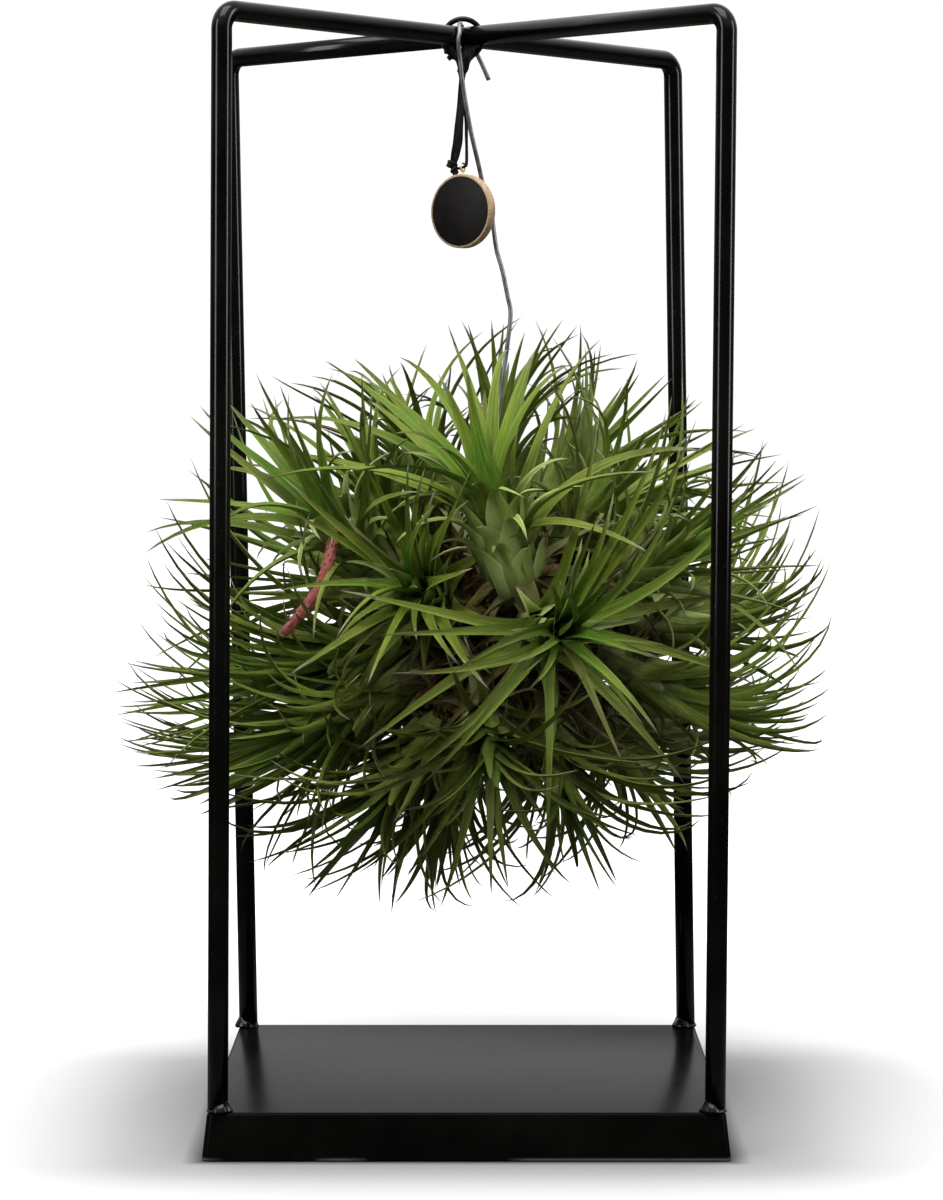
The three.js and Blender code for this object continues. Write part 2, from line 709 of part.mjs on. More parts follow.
// A dry blade that curls back from the foot of the clump.
function layWithered(index, attempt) {
  const random = stream(900000 + index * 64 + attempt);
  const turn = -Math.PI / 2 + (random() * 2 - 1) * 1.9;
  const tilt = -0.1 - random() * 1.1;
  const flat = new THREE.Vector3(Math.cos(turn), Math.sin(turn), 0);
  const start = flat.clone().multiplyScalar(Math.cos(tilt)).addScaledVector(UP, Math.sin(tilt));
  const side = new THREE.Vector3(random() - 0.5, random() - 0.5, random() - 0.5);
  side.addScaledVector(start, -side.dot(start)).normalize();
  const curl = 1.6 + random() * 1.6;
  const step = (42 + random() * 34) / BLADE_STEPS;
  const point = HUB.clone().addScaledVector(start, 15);
  let across = start.clone().cross(side);
  const points = [];
  const acrosses = [];
  const widths = [];
  for (let i = 0; i <= BLADE_STEPS; i += 1) {
    const s = i / BLADE_STEPS;
    const angle = curl * s * s * 1.4;
    const heading = start.clone().multiplyScalar(Math.cos(angle)).addScaledVector(side, Math.sin(angle));
    across = across.clone().addScaledVector(heading, -across.dot(heading)).normalize();
    points.push(point.clone());
    acrosses.push(across);
    widths.push(4.4 * Math.pow(1 - s, 0.6) + 0.25);
    point.addScaledVector(heading, step);
  }
  return { points, acrosses, widths, young: false };
}

function witheredBlades() {
  const found = [];
  for (let index = 0; index < WITHERED_BLADES; index += 1) {
    for (let attempt = 0; attempt < 64; attempt += 1) {
      const blade = layWithered(index, attempt);
      if (bladeFits(blade, "hub")) {
        found.push(blade);
        for (let i = 0; i < BLADE_STEPS; i += 2) {
          occupy(blade.points[i], blade.points[i + 2], blade.widths[i] / 2, "hub", i >= 4);
        }
        break;
      }
    }
  }
  return found;
}

// A spent flower stalk with small overlapping bracts along it.
function flowerStalk(path) {
  const bracts = [];
  for (let i = 3; i < path.length - 1; i += 1) {
    const heading = path[i + 1].clone().sub(path[i]).normalize();
    const side = heading.clone().cross(UP).normalize();
    side.applyAxisAngle(heading, i * GOLDEN_ANGLE);
    const out = side.clone().cross(heading);
    const root = path[i].clone().addScaledVector(out, STALK_RADIUS * 0.5);
    const tip = path[i].clone().addScaledVector(out, STALK_RADIUS + 1.1).addScaledVector(heading, 3.2);
    const ring = [-1, 1].map((sign) => root.clone().addScaledVector(side, sign * 1.3));
    ring.push(root.clone().addScaledVector(heading, -1.4));
    bracts.push(loft([ring, [tip]]));
  }
  return join([tube(path, STALK_RADIUS, 6), ...bracts]);
}

// A short pointed bud of folded bracts.
function flowerBud(rosette) {
  const profile = [[2.4, 1.4], [4.5, 2.6], [7.5, 2.2]];
  const rings = profile.map(([along, radius]) => stemRing(rosette, rosette.stem + along, radius, 7));
  rings.push([rosette.base.clone().addScaledVector(rosette.axis, rosette.stem + 11)]);
  return loft(rings);
}

// ---- Build ----

addNode("base_tray", baseTray(), 0x161614, 0.5, 0.4);
addNode("hoop_main", mainHoop(), 0x101010, 0.4, 0.35);
addNode("hoop_arm_front", hoopArm(1, -1), 0x101010, 0.4, 0.35);
addNode("hoop_arm_rear", hoopArm(-1, 1), 0x101010, 0.4, 0.35);
addNode("hanging_ring", hangingRing(), 0x141414, 0.5, 0.35);
const wirePath = wirePoints();
addNode("hanging_wire", tube(wirePath, WIRE_RADIUS, 6), 0x6b6f73, 0.8, 0.4);
addNode("ribbon", ribbon(), 0x0c0c0d, 0, 0.6);
addNode("tag_disc", tagDisc(), 0xc8a878, 0, 0.7);
addNode("tag_eye", tagEye(), 0xb9a36a, 0.7, 0.4);

// Everything that the blades must pass.
for (const [signX, signY] of [[-1, -1], [1, -1], [1, 1], [-1, 1]]) {
  occupy(postFoot(signX, signY), topCorner(signX, signY), ROD_RADIUS + 0.6, "post");
}
for (let i = 0; i < wirePath.length - 1; i += 1) {
  occupy(wirePath[i], wirePath[i + 1], WIRE_RADIUS + 0.3, "wire");
}
for (const rosette of rosettes) {
  const points = branchPoints(rosette);
  for (let i = 0; i < points.length - 1; i += 1) {
    occupy(points[i], points[i + 1], STEM_RADIUS + 0.6, `branch ${rosette.number}`);
  }
  const top = rosette.base.clone().addScaledVector(rosette.axis, rosette.stem + 2);
  occupy(rosette.base, top, rosette.girth * 0.9, rosette.number);
}

const stalkCurve = new THREE.CatmullRomCurve3(STALK_POINTS.map((p) => new THREE.Vector3(...p)));
const stalkPath = stalkCurve.getPoints(15);
for (let i = 0; i < stalkPath.length - 1; i += 1) {
  occupy(stalkPath[i], stalkPath[i + 1], STALK_RADIUS + 0.5, "stalk");
}
addNode("flower_stalk", flowerStalk(stalkPath), 0xb5605a, 0, 0.7);
const budSeat = rosettes[BUD_ROSETTE];
const budFoot = budSeat.base.clone().addScaledVector(budSeat.axis, budSeat.stem + 2.4);
const budTip = budFoot.clone().addScaledVector(budSeat.axis, 8.5);
occupy(budFoot, budTip, 2.9, "bud");
addNode("flower_bud", flowerBud(budSeat), 0xc77a74, 0, 0.6);

const hub = new THREE.SphereGeometry(1, 8, 6);
hub.scale(24, 20, 20);
hub.translate(HUB.x, HUB.y, HUB.z);
const hubLeft = HUB.clone().setX(HUB.x - 6);
const hubRight = HUB.clone().setX(HUB.x + 6);
occupy(hubLeft, hubRight, 19, "hub");
const withered = witheredBlades();
const core = join([solidOf(hub), ...rosettes.map(branchSolid), ...withered.map(bladeSolid)]);
const channel = tube(wirePath, WIRE_RADIUS + 0.45, 6);
addNode("stem_core", core.subtract(channel), 0x4a3423, 0, 0.9);

const blades = rosettes.map(() => []);
const most = Math.max(...rosettes.map((rosette) => rosette.count));
for (let index = 0; index < most; index += 1) {
  for (const rosette of rosettes) {
    if (index >= rosette.count) {
      continue;
    }
    for (let attempt = 0; attempt < BLADE_ATTEMPTS; attempt += 1) {
      const blade = layBlade(rosette, index, attempt);
      if (bladeFits(blade, rosette.number)) {
        blades[rosette.number].push(blade);
        for (let i = 0; i < BLADE_STEPS; i += 2) {
          const half = blade.widths[i] / 2;
          occupy(blade.points[i], blade.points[i + 2], half, rosette.number, i >= 4);
        }
        break;
      }
    }
  }
}
for (const rosette of rosettes) {
  const solid = join([sheathedStem(rosette), ...blades[rosette.number].map(bladeSolid)]);
  const name = `rosette_${String(rosette.number + 1).padStart(2, "0")}`;
  addNode(name, solid, 0x5c7a34, 0, 0.6);
}
export default group;
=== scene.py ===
import json
from math import acos, cos, pi, sin, tan

import bmesh
import bpy
import numpy as np
from mathutils import Matrix, Quaternion, Vector, kdtree, noise
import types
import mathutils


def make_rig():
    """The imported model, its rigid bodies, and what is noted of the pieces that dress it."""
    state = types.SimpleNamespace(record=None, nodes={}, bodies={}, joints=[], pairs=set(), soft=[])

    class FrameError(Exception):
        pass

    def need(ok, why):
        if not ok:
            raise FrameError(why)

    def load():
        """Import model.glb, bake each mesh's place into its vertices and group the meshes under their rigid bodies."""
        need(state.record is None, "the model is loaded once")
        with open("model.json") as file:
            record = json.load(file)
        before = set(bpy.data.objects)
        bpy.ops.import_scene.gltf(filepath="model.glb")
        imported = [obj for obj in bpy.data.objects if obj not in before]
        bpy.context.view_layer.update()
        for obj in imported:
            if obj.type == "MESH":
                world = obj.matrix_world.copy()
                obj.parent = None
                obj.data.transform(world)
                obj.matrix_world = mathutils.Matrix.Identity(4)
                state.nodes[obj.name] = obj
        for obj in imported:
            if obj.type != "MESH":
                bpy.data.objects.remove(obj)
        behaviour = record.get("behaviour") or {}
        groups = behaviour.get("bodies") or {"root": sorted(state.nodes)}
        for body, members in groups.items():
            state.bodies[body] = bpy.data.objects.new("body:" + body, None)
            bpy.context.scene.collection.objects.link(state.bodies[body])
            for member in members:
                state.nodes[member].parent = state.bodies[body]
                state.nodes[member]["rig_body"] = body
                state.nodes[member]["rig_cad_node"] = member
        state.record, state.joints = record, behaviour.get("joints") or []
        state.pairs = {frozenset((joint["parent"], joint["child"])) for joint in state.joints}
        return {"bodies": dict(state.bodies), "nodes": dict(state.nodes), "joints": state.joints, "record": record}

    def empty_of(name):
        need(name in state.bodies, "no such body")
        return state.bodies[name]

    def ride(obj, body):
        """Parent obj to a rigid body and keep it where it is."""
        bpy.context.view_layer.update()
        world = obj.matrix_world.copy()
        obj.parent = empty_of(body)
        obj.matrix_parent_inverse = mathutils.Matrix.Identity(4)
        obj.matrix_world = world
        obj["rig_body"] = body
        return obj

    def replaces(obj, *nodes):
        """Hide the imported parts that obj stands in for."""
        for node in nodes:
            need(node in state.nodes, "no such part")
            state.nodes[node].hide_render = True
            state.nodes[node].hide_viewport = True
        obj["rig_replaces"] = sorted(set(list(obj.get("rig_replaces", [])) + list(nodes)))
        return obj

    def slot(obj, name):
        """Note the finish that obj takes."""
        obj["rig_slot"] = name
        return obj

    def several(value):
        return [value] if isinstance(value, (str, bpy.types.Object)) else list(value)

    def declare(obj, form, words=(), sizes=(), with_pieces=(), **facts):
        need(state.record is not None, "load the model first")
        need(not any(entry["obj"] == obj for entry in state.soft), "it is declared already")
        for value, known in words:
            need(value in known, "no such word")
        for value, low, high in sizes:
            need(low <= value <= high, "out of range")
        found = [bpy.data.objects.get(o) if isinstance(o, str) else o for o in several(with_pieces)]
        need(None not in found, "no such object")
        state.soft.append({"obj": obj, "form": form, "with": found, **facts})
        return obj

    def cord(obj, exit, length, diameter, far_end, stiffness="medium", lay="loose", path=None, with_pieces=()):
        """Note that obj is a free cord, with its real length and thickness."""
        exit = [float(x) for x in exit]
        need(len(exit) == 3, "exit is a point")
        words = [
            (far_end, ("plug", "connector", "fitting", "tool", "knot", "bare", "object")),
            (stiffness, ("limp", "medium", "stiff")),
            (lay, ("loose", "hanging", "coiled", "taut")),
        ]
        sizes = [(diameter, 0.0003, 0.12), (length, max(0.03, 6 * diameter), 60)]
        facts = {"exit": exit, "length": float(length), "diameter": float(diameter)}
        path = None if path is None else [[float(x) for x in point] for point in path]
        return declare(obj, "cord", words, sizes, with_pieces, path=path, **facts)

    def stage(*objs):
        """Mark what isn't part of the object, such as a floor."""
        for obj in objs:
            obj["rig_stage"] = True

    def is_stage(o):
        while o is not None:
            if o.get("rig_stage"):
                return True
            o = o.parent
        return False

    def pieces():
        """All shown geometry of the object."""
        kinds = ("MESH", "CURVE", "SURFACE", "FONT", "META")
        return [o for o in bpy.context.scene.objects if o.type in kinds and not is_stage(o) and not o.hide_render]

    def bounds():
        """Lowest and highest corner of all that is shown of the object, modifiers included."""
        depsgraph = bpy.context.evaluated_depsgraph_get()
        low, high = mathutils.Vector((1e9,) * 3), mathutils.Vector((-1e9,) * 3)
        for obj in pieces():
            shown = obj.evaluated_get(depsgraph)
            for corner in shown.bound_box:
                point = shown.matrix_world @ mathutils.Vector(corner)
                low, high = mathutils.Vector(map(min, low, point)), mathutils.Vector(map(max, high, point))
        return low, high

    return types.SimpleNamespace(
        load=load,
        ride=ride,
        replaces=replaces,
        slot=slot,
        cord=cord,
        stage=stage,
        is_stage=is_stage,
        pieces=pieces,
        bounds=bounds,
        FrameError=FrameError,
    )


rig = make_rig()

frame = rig.load()
cad_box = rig.bounds()
scene = bpy.context.scene
# Without a seed of its own, the noise that shifts points would differ in each run.
noise.seed_set(1)

# An air plant hung on a wire in a frame of black steel rod. Sizes are in millimetres, and every mesh is
# brought to metres when its object is made. The ground is z = 0 and the front is -Y.
MM = 0.001
UP = Vector((0, 0, 1))

# ---- Camera ----
camera = bpy.data.objects.new("camera", bpy.data.cameras.new("camera"))
camera.data.lens = 108.117
camera.data.clip_end = 20
camera.location = (0.00195, -1.4748, 0.2893)
camera.rotation_euler = (pi / 2 - 0.0534, 0, 0)
scene.collection.objects.link(camera)
scene.camera = camera

# ---- Named sizes ----
TRAY_SIDE = 200
TRAY_FOOT_SIDE = 204
TRAY_HEIGHT = 18
TRAY_CORNER = 3.0
TRAY_FOLD = 1.3
SHEET = 1.6
ROD_RADIUS = 4
POST_REACH = 96
BAR_HEIGHT = 439.5
BEND_RADIUS = 7
BEND_STEPS = 15
POST_STEPS = 8
WELD_HEIGHT = 2.6
TOP_TWIST = 0.052
TOP_SHIFT = Vector((-1.6, -1.4, 0))
GAP = 0.3
CROSSING = Vector((0, 0, BAR_HEIGHT)) + TOP_SHIFT
RING_RADIUS = 7.9
RING_STOCK = 1.1
RING_CENTRE = CROSSING - UP * 0.65
WIRE_RADIUS = 0.9
TAG_RADIUS = 15
TAG_THICKNESS = 4
TAG_CENTRE = Vector((-2.7, -5, 368.9))
TAG_TURN = 0.64
TAG_FACING = Vector((-sin(TAG_TURN), -cos(TAG_TURN), 0))
TAG_ACROSS = Vector((cos(TAG_TURN), -sin(TAG_TURN), 0))
EYE_RADIUS = 1.6
EYE_STOCK = 0.45
EYE_CENTRE = TAG_CENTRE - TAG_FACING * 2 + UP * (TAG_RADIUS + GAP + EYE_RADIUS + EYE_STOCK + 0.5)
RIBBON_WIDTH = 4
RIBBON_ROWS = 92
RIBBON_HALF_THICKNESS = 0.28

# ---- Making objects ----


def mesh_of(name, body):
    mesh = bpy.data.meshes.new(name)
    body.to_mesh(mesh)
    body.free()
    return mesh


def placed(name, mesh, materials, node, slot):
    """Makes the piece that takes the place of the CAD node."""
    piece = bpy.data.objects.new(name, mesh)
    for material in materials:
        mesh.materials.append(material)
    scene.collection.objects.link(piece)
    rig.ride(piece, "root")
    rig.replaces(piece, node)
    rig.slot(piece, slot)
    return piece


def finished(name, body, materials, node, slot):
    """Turns a bmesh in millimetres into the named piece."""
    bmesh.ops.scale(body, vec=(MM, MM, MM), verts=body.verts)
    smoothed(body)
    return placed(name, mesh_of(name, body), materials, node, slot)


def smoothed(body, material_index=None):
    for face in body.faces:
        face.smooth = True
        if material_index is not None:
            face.material_index = material_index


def creased(body, angle):
    """Keeps the edges sharp where the faces meet at more than the angle."""
    for edge in body.edges:
        if len(edge.link_faces) == 2 and edge.calc_face_angle(0) > angle:
            edge.smooth = False


def rounded(body, edges, offset, segments):
    bmesh.ops.bevel(
        body, geom=edges, offset=offset, offset_type="OFFSET", segments=segments, profile=0.5, affect="EDGES",
        material=-1,
    )


def points_after(body, count):
    """The points of a bmesh but for the first ones."""
    body.verts.ensure_lookup_table()
    return body.verts[count:]


def smooth_line(points, places):
    """Points of a smooth curve through the given ones, at places counted from 0 to their number less 1."""
    points = np.asarray([tuple(p) for p in points], float)
    places = np.clip(np.asarray(places, float), 0, len(points) - 1)
    padded = np.vstack([2 * points[0] - points[1], points, 2 * points[-1] - points[-2]])
    start = np.minimum(places.astype(int), len(points) - 2)
    t = (places - start)[:, None]
    p0, p1, p2, p3 = (padded[start + i] for i in range(4))
    d0, d1, d2 = (
        np.maximum(np.linalg.norm(b - a, axis=1, keepdims=True), 1e-6) ** 0.5
        for a, b in ((p0, p1), (p1, p2), (p2, p3))
    )
    m1 = ((p1 - p0) / d0 - (p2 - p0) / (d0 + d1) + (p2 - p1) / d1) * d1
    m2 = ((p2 - p1) / d1 - (p3 - p1) / (d1 + d2) + (p3 - p2) / d2) * d1
    return p1 + m1 * t + (3 * (p2 - p1) - 2 * m1 - m2) * t**2 + (2 * (p1 - p2) + m1 + m2) * t**3


def whole_line(points, count):
    """That many points of the smooth curve through the given ones, from its start to its end."""
    return [Vector(p) for p in smooth_line(points, np.linspace(0, len(points) - 1, count))]


def drawn_rod(body, points, radii, sides, squash=1.0):
    """Draws a round bar along points: a disc is extruded ring by ring and closed at its far end."""
    if not hasattr(radii, "__len__"):
        radii = [radii] * len(points)
    before = (points[1] - points[0]).normalized()
    turn = UP.rotation_difference(before).to_matrix().to_4x4()
    ring = bmesh.ops.create_circle(body, cap_ends=True, segments=sides, radius=1.0)["verts"]
    flat = [v.co.copy() for v in ring]
    edges = list({e for v in ring for e in v.link_edges})
    for vert, place in zip(ring, flat):
        vert.co = points[0] + turn @ (place * radii[0])
    for i in range(1, len(points)):
        here = (points[i] - points[i - 1]).normalized()
        after = (points[i + 1] - points[i]).normalized() if i < len(points) - 1 else here
        middle = (here + after).normalized()
        turn = before.rotation_difference(middle).to_matrix().to_4x4() @ turn
        before = middle
        pushed = bmesh.ops.extrude_edge_only(body, edges=edges)["geom"]
        verts = [g for g in pushed if isinstance(g, bmesh.types.BMVert)]
        edges = [g for g in pushed if isinstance(g, bmesh.types.BMEdge)]
        # The new ring keeps the order of the old one, so each point is set out afresh from the flat disc.
        for vert, place in zip(verts, flat):
            vert.co = points[i] + turn @ Vector((place.x, place.y * squash, 0)) * radii[i]
    bmesh.ops.contextual_create(body, geom=edges)


def closed_ring(body, radius, stock, steps, sides):
    """A round wire bent to a closed ring, spun from one circle."""
    profile = bmesh.ops.create_circle(body, cap_ends=False, segments=sides, radius=stock)["verts"]
    edges = list({e for v in profile for e in v.link_edges})
    bmesh.ops.translate(body, verts=profile, vec=(radius, 0, 0))
    bmesh.ops.spin(
        body, geom=profile + edges, cent=(0, 0, 0), axis=(0, 1, 0), angle=2 * pi, steps=steps, use_merge=True
    )
    bmesh.ops.remove_doubles(body, verts=body.verts, dist=1e-4)
    bmesh.ops.recalc_face_normals(body, faces=body.faces)


# ---- Node helpers and shared effects ----


class Nodes:
    """A shader tree, with short names for the nodes that the finishes are made of."""

    def __init__(self, tree):
        self.tree = tree

    def node(self, kind, inputs, **settings):
        """Adds one node and gives its outputs. Inputs are values or the sockets that feed them."""
        made = self.tree.nodes.new("ShaderNode" + kind)
        for key, value in settings.items():
            setattr(made, key, value)
        for key, value in inputs.items():
            if isinstance(value, bpy.types.NodeSocket):
                self.tree.links.new(value, made.inputs[key])
            else:
                made.inputs[key].default_value = value
        return made.outputs

    def math(self, operation, a, b=0.0):
        return self.node("Math", {0: a, 1: b}, operation=operation)[0]

    def plus(self, value, *others):
        for other in others:
            value = self.math("ADD", value, other)
        return value

    def times(self, a, b):
        return self.math("MULTIPLY", a, b)

    def blend(self, factor, a, b, mode="MIX"):
        a, b = ((*colour, 1) if isinstance(colour, tuple) else colour for colour in (a, b))
        settings = {"data_type": "RGBA", "blend_type": mode, "clamp_factor": True}
        return self.node("Mix", {0: factor, 6: a, 7: b}, **settings)[2]

    def ramp(self, factor, *stops):
        """Colours, or greys, at places along the factor."""
        colours = self.node("ValToRGB", {0: factor})[0]
        band = colours.node.color_ramp
        while len(band.elements) < len(stops):
            band.elements.new(0.5)
        for element, (place, colour) in zip(band.elements, stops):
            element.position = place
            element.color = (*colour, 1) if isinstance(colour, tuple) else (colour, colour, colour, 1)
        return colours

    def spread(self, value, low, high, new_low=0.0, new_high=1.0):
        """The value brought from one range to another, and held inside it."""
        return self.node("MapRange", {0: value, 1: low, 2: high, 3: new_low, 4: new_high}, clamp=True)[0]

    def value(self, name):
        """A value that the mesh carries at its points."""
        return self.node("Attribute", {}, attribute_name=name)["Fac"]

    def place(self, stretch=(1, 1, 1)):
        return self.node("Mapping", {"Vector": self.node("TexCoord", {})["Object"], "Scale": stretch})[0]

    def noise(self, place, scale, detail, **more):
        return self.node("TexNoise", {"Vector": place, "Scale": scale, "Detail": detail, **more})["Fac"]

    def mottle(self, place, scale):
        return self.node("Group", {"Place": place, "Scale": scale}, node_tree=mottle)["Amount"]

    def scales(self, along, across, seed, amount):
        given = {"Along": along, "Across": across, "Seed": seed, "Amount": amount}
        return self.node("Group", given, node_tree=frost)

    def raised(self, strength, distance, height):
        return self.node("Bump", {"Strength": strength, "Distance": distance, "Height": height})[0]


class Finish(Nodes):
    """A material. Its constants are set on the shader's own sockets, and feed links the others."""

    def __init__(self, name, **constants):
        self.material = bpy.data.materials.new(name)
        self.material.use_nodes = True
        super().__init__(self.material.node_tree)
        self.shader = self.tree.nodes["Principled BSDF"].inputs
        for key, value in constants.items():
            self.shader[key.replace("_", " ")].default_value = value

    def feed(self, **sockets):
        for key, value in sockets.items():
            self.tree.links.new(value, self.shader[key.replace("_", " ")])
        return self.material


VALUE, COLOUR, PLACE = "NodeSocketFloat", "NodeSocketColor", "NodeSocketVector"


def effect(name, inputs, outputs, build):
    """A shader node group. build gets its nodes and its inputs by name, and gives its outputs by name."""
    tree = bpy.data.node_groups.new(name, "ShaderNodeTree")
    for socket, kind, value in inputs:
        made = tree.interface.new_socket(name=socket, in_out="INPUT", socket_type=kind)
        if value is not None:
            made.default_value = value
    for socket, kind in outputs:
        tree.interface.new_socket(name=socket, in_out="OUTPUT", socket_type=kind)
    given = tree.nodes.new("NodeGroupInput").outputs
    results = tree.nodes.new("NodeGroupOutput").inputs
    for socket, value in build(Nodes(tree), given).items():
        tree.links.new(value, results[socket])
    return tree


def build_mottle(n, given):
    cloud = n.noise(given["Place"], given["Scale"], 5.0, Roughness=0.6)
    return {"Amount": n.spread(cloud, 0.32, 0.68)}


mottle = effect("mottle", [("Place", PLACE, None), ("Scale", VALUE, 40.0)], [("Amount", VALUE)], build_mottle)


def build_paint(n, given):
    """Sprayed satin paint: a faint orange peel, dust nibs and duller patches where it is handled."""
    place = given["Place"]
    peel = n.noise(place, 900.0, 2.0)
    nibs = n.node("TexVoronoi", {"Vector": place, "Scale": given["Nibs"]})["Distance"]
    nib = n.spread(nibs, 0.05, 0.13, 1.0, 0.0)
    patch = n.mottle(place, 28.0)
    fine = n.mottle(place, 260.0)
    tone = n.blend(patch, (0.0022, 0.0021, 0.0018), (0.006, 0.0058, 0.005))
    tone = n.blend(n.times(nib, given["Dust"]), tone, (0.16, 0.15, 0.13))
    rough = n.plus(n.spread(patch, 0, 1, 0.0, 0.04), n.spread(fine, 0, 1, 0.0, 0.03), given["Roughness"])
    height = n.plus(n.times(peel, 0.35), n.times(nib, 0.8))
    return {"Colour": tone, "Roughness": rough, "Height": height}


satin_paint = effect(
    "satin_paint",
    [("Place", PLACE, None), ("Nibs", VALUE, 160.0), ("Dust", VALUE, 0.5), ("Roughness", VALUE, 0.25)],
    [("Colour", COLOUR), ("Roughness", VALUE), ("Height", VALUE)],
    build_paint,
)


def painted(name, roughness, nibs, dust, bump, gloss, worn_edge=False):
    m = Finish(name, Specular_IOR_Level=gloss)
    place = m.place()
    given = {"Place": place, "Nibs": nibs, "Dust": dust, "Roughness": roughness}
    paint = m.node("Group", given, node_tree=satin_paint)
    colour = paint["Colour"]
    if worn_edge:
        # The lower edge of the skirt is rubbed thin in places.
        height = m.node("SeparateXYZ", {0: place})["Z"]
        low = m.spread(height, 0.0003, 0.0011, 1.0, 0.0)
        worn = m.times(low, m.spread(m.noise(place, 24.0, 4.0), 0.46, 0.56))
        colour = m.blend(worn, colour, (0.11, 0.105, 0.095))
    raised = m.raised(bump, 0.0002, paint["Height"])
    return m.feed(Base_Color=colour, Roughness=paint["Roughness"], Normal=raised)


def clouded(name, scale, dark, light, roughness, relief=None, **constants):
    """Soft clouds of two tones, over a fine relief: its stretch, scale, detail and strength."""
    m = Finish(name, **constants)
    cloud = m.mottle(m.place(), scale)
    if relief:
        stretch, fine_scale, detail, strength = relief
        m.feed(Normal=m.raised(strength, 0.0001, m.noise(m.place(stretch), fine_scale, detail)))
    return m.feed(Base_Color=m.blend(cloud, dark, light), Roughness=m.spread(cloud, 0, 1, *roughness))


def satin_ribbon():
    m = Finish("satin_ribbon", Sheen_Weight=0.04, Specular_IOR_Level=0.16)
    threads = m.math("SINE", m.times(m.value("across"), 110.0))
    picks = m.math("SINE", m.times(m.value("along"), 3400.0))
    weave = m.plus(m.times(threads, 0.7), m.times(picks, 0.35))
    tone = m.blend(m.mottle(m.place(), 240.0), (0.004, 0.004, 0.0045), (0.013, 0.0125, 0.013))
    rough = m.spread(weave, -1, 1, 0.34, 0.5)
    return m.feed(Base_Color=tone, Roughness=rough, Normal=m.raised(0.3, 0.00008, weave))


def turned_wood():
    """Pale wood: fine rings seen on the edge, slightly scorched by the saw."""
    m = Finish("turned_wood")
    place = m.place((1, 1, 5))
    rings = {"Vector": place, "Scale": 110.0, "Distortion": 5.0, "Detail": 3.0, "Detail Scale": 2.0}
    grain = m.node("TexWave", rings)["Fac"]
    tone = m.blend(grain, (0.56, 0.38, 0.21), (0.72, 0.54, 0.34))
    tone = m.blend(m.times(m.mottle(place, 150.0), 0.5), tone, (0.42, 0.26, 0.13))
    rough = m.spread(grain, 0, 1, 0.55, 0.7)
    return m.feed(Base_Color=tone, Roughness=rough, Normal=m.raised(0.4, 0.0001, grain))


def build_frost(n, given):
    """The silvery scales that coat the plant: fine specks drawn out along the leaf."""
    stretched = {0: n.times(given["Across"], 5.0), 1: n.times(given["Along"], 70.0), 2: given["Seed"]}
    place = n.node("CombineXYZ", stretched)[0]
    specks = n.noise(place, 4.0, 4.0)
    cover = n.noise(place, 0.35, 3.0)
    mask = n.times(n.spread(specks, 0.35, 0.7), n.spread(cover, 0.3, 0.7, 0.35, 1.0))
    thin = n.times(mask, n.math("MINIMUM", given["Amount"], 0.6))
    edge = n.plus(n.times(n.math("ABSOLUTE", given["Across"]), 1.2), n.times(specks, 0.5))
    full = n.times(n.spread(given["Amount"], 0.5, 1.5, 0.0, 0.9), n.spread(edge, 0.3, 1.4, 0.5, 1.0))
    return {"Frost": n.math("MAXIMUM", thin, full), "Height": specks}


frost = effect(
    "silver_scales",
    [("Along", VALUE, 0.0), ("Across", VALUE, 0.0), ("Seed", VALUE, 0.0), ("Amount", VALUE, 0.5)],
    [("Frost", VALUE), ("Height", VALUE)],
    build_frost,
)


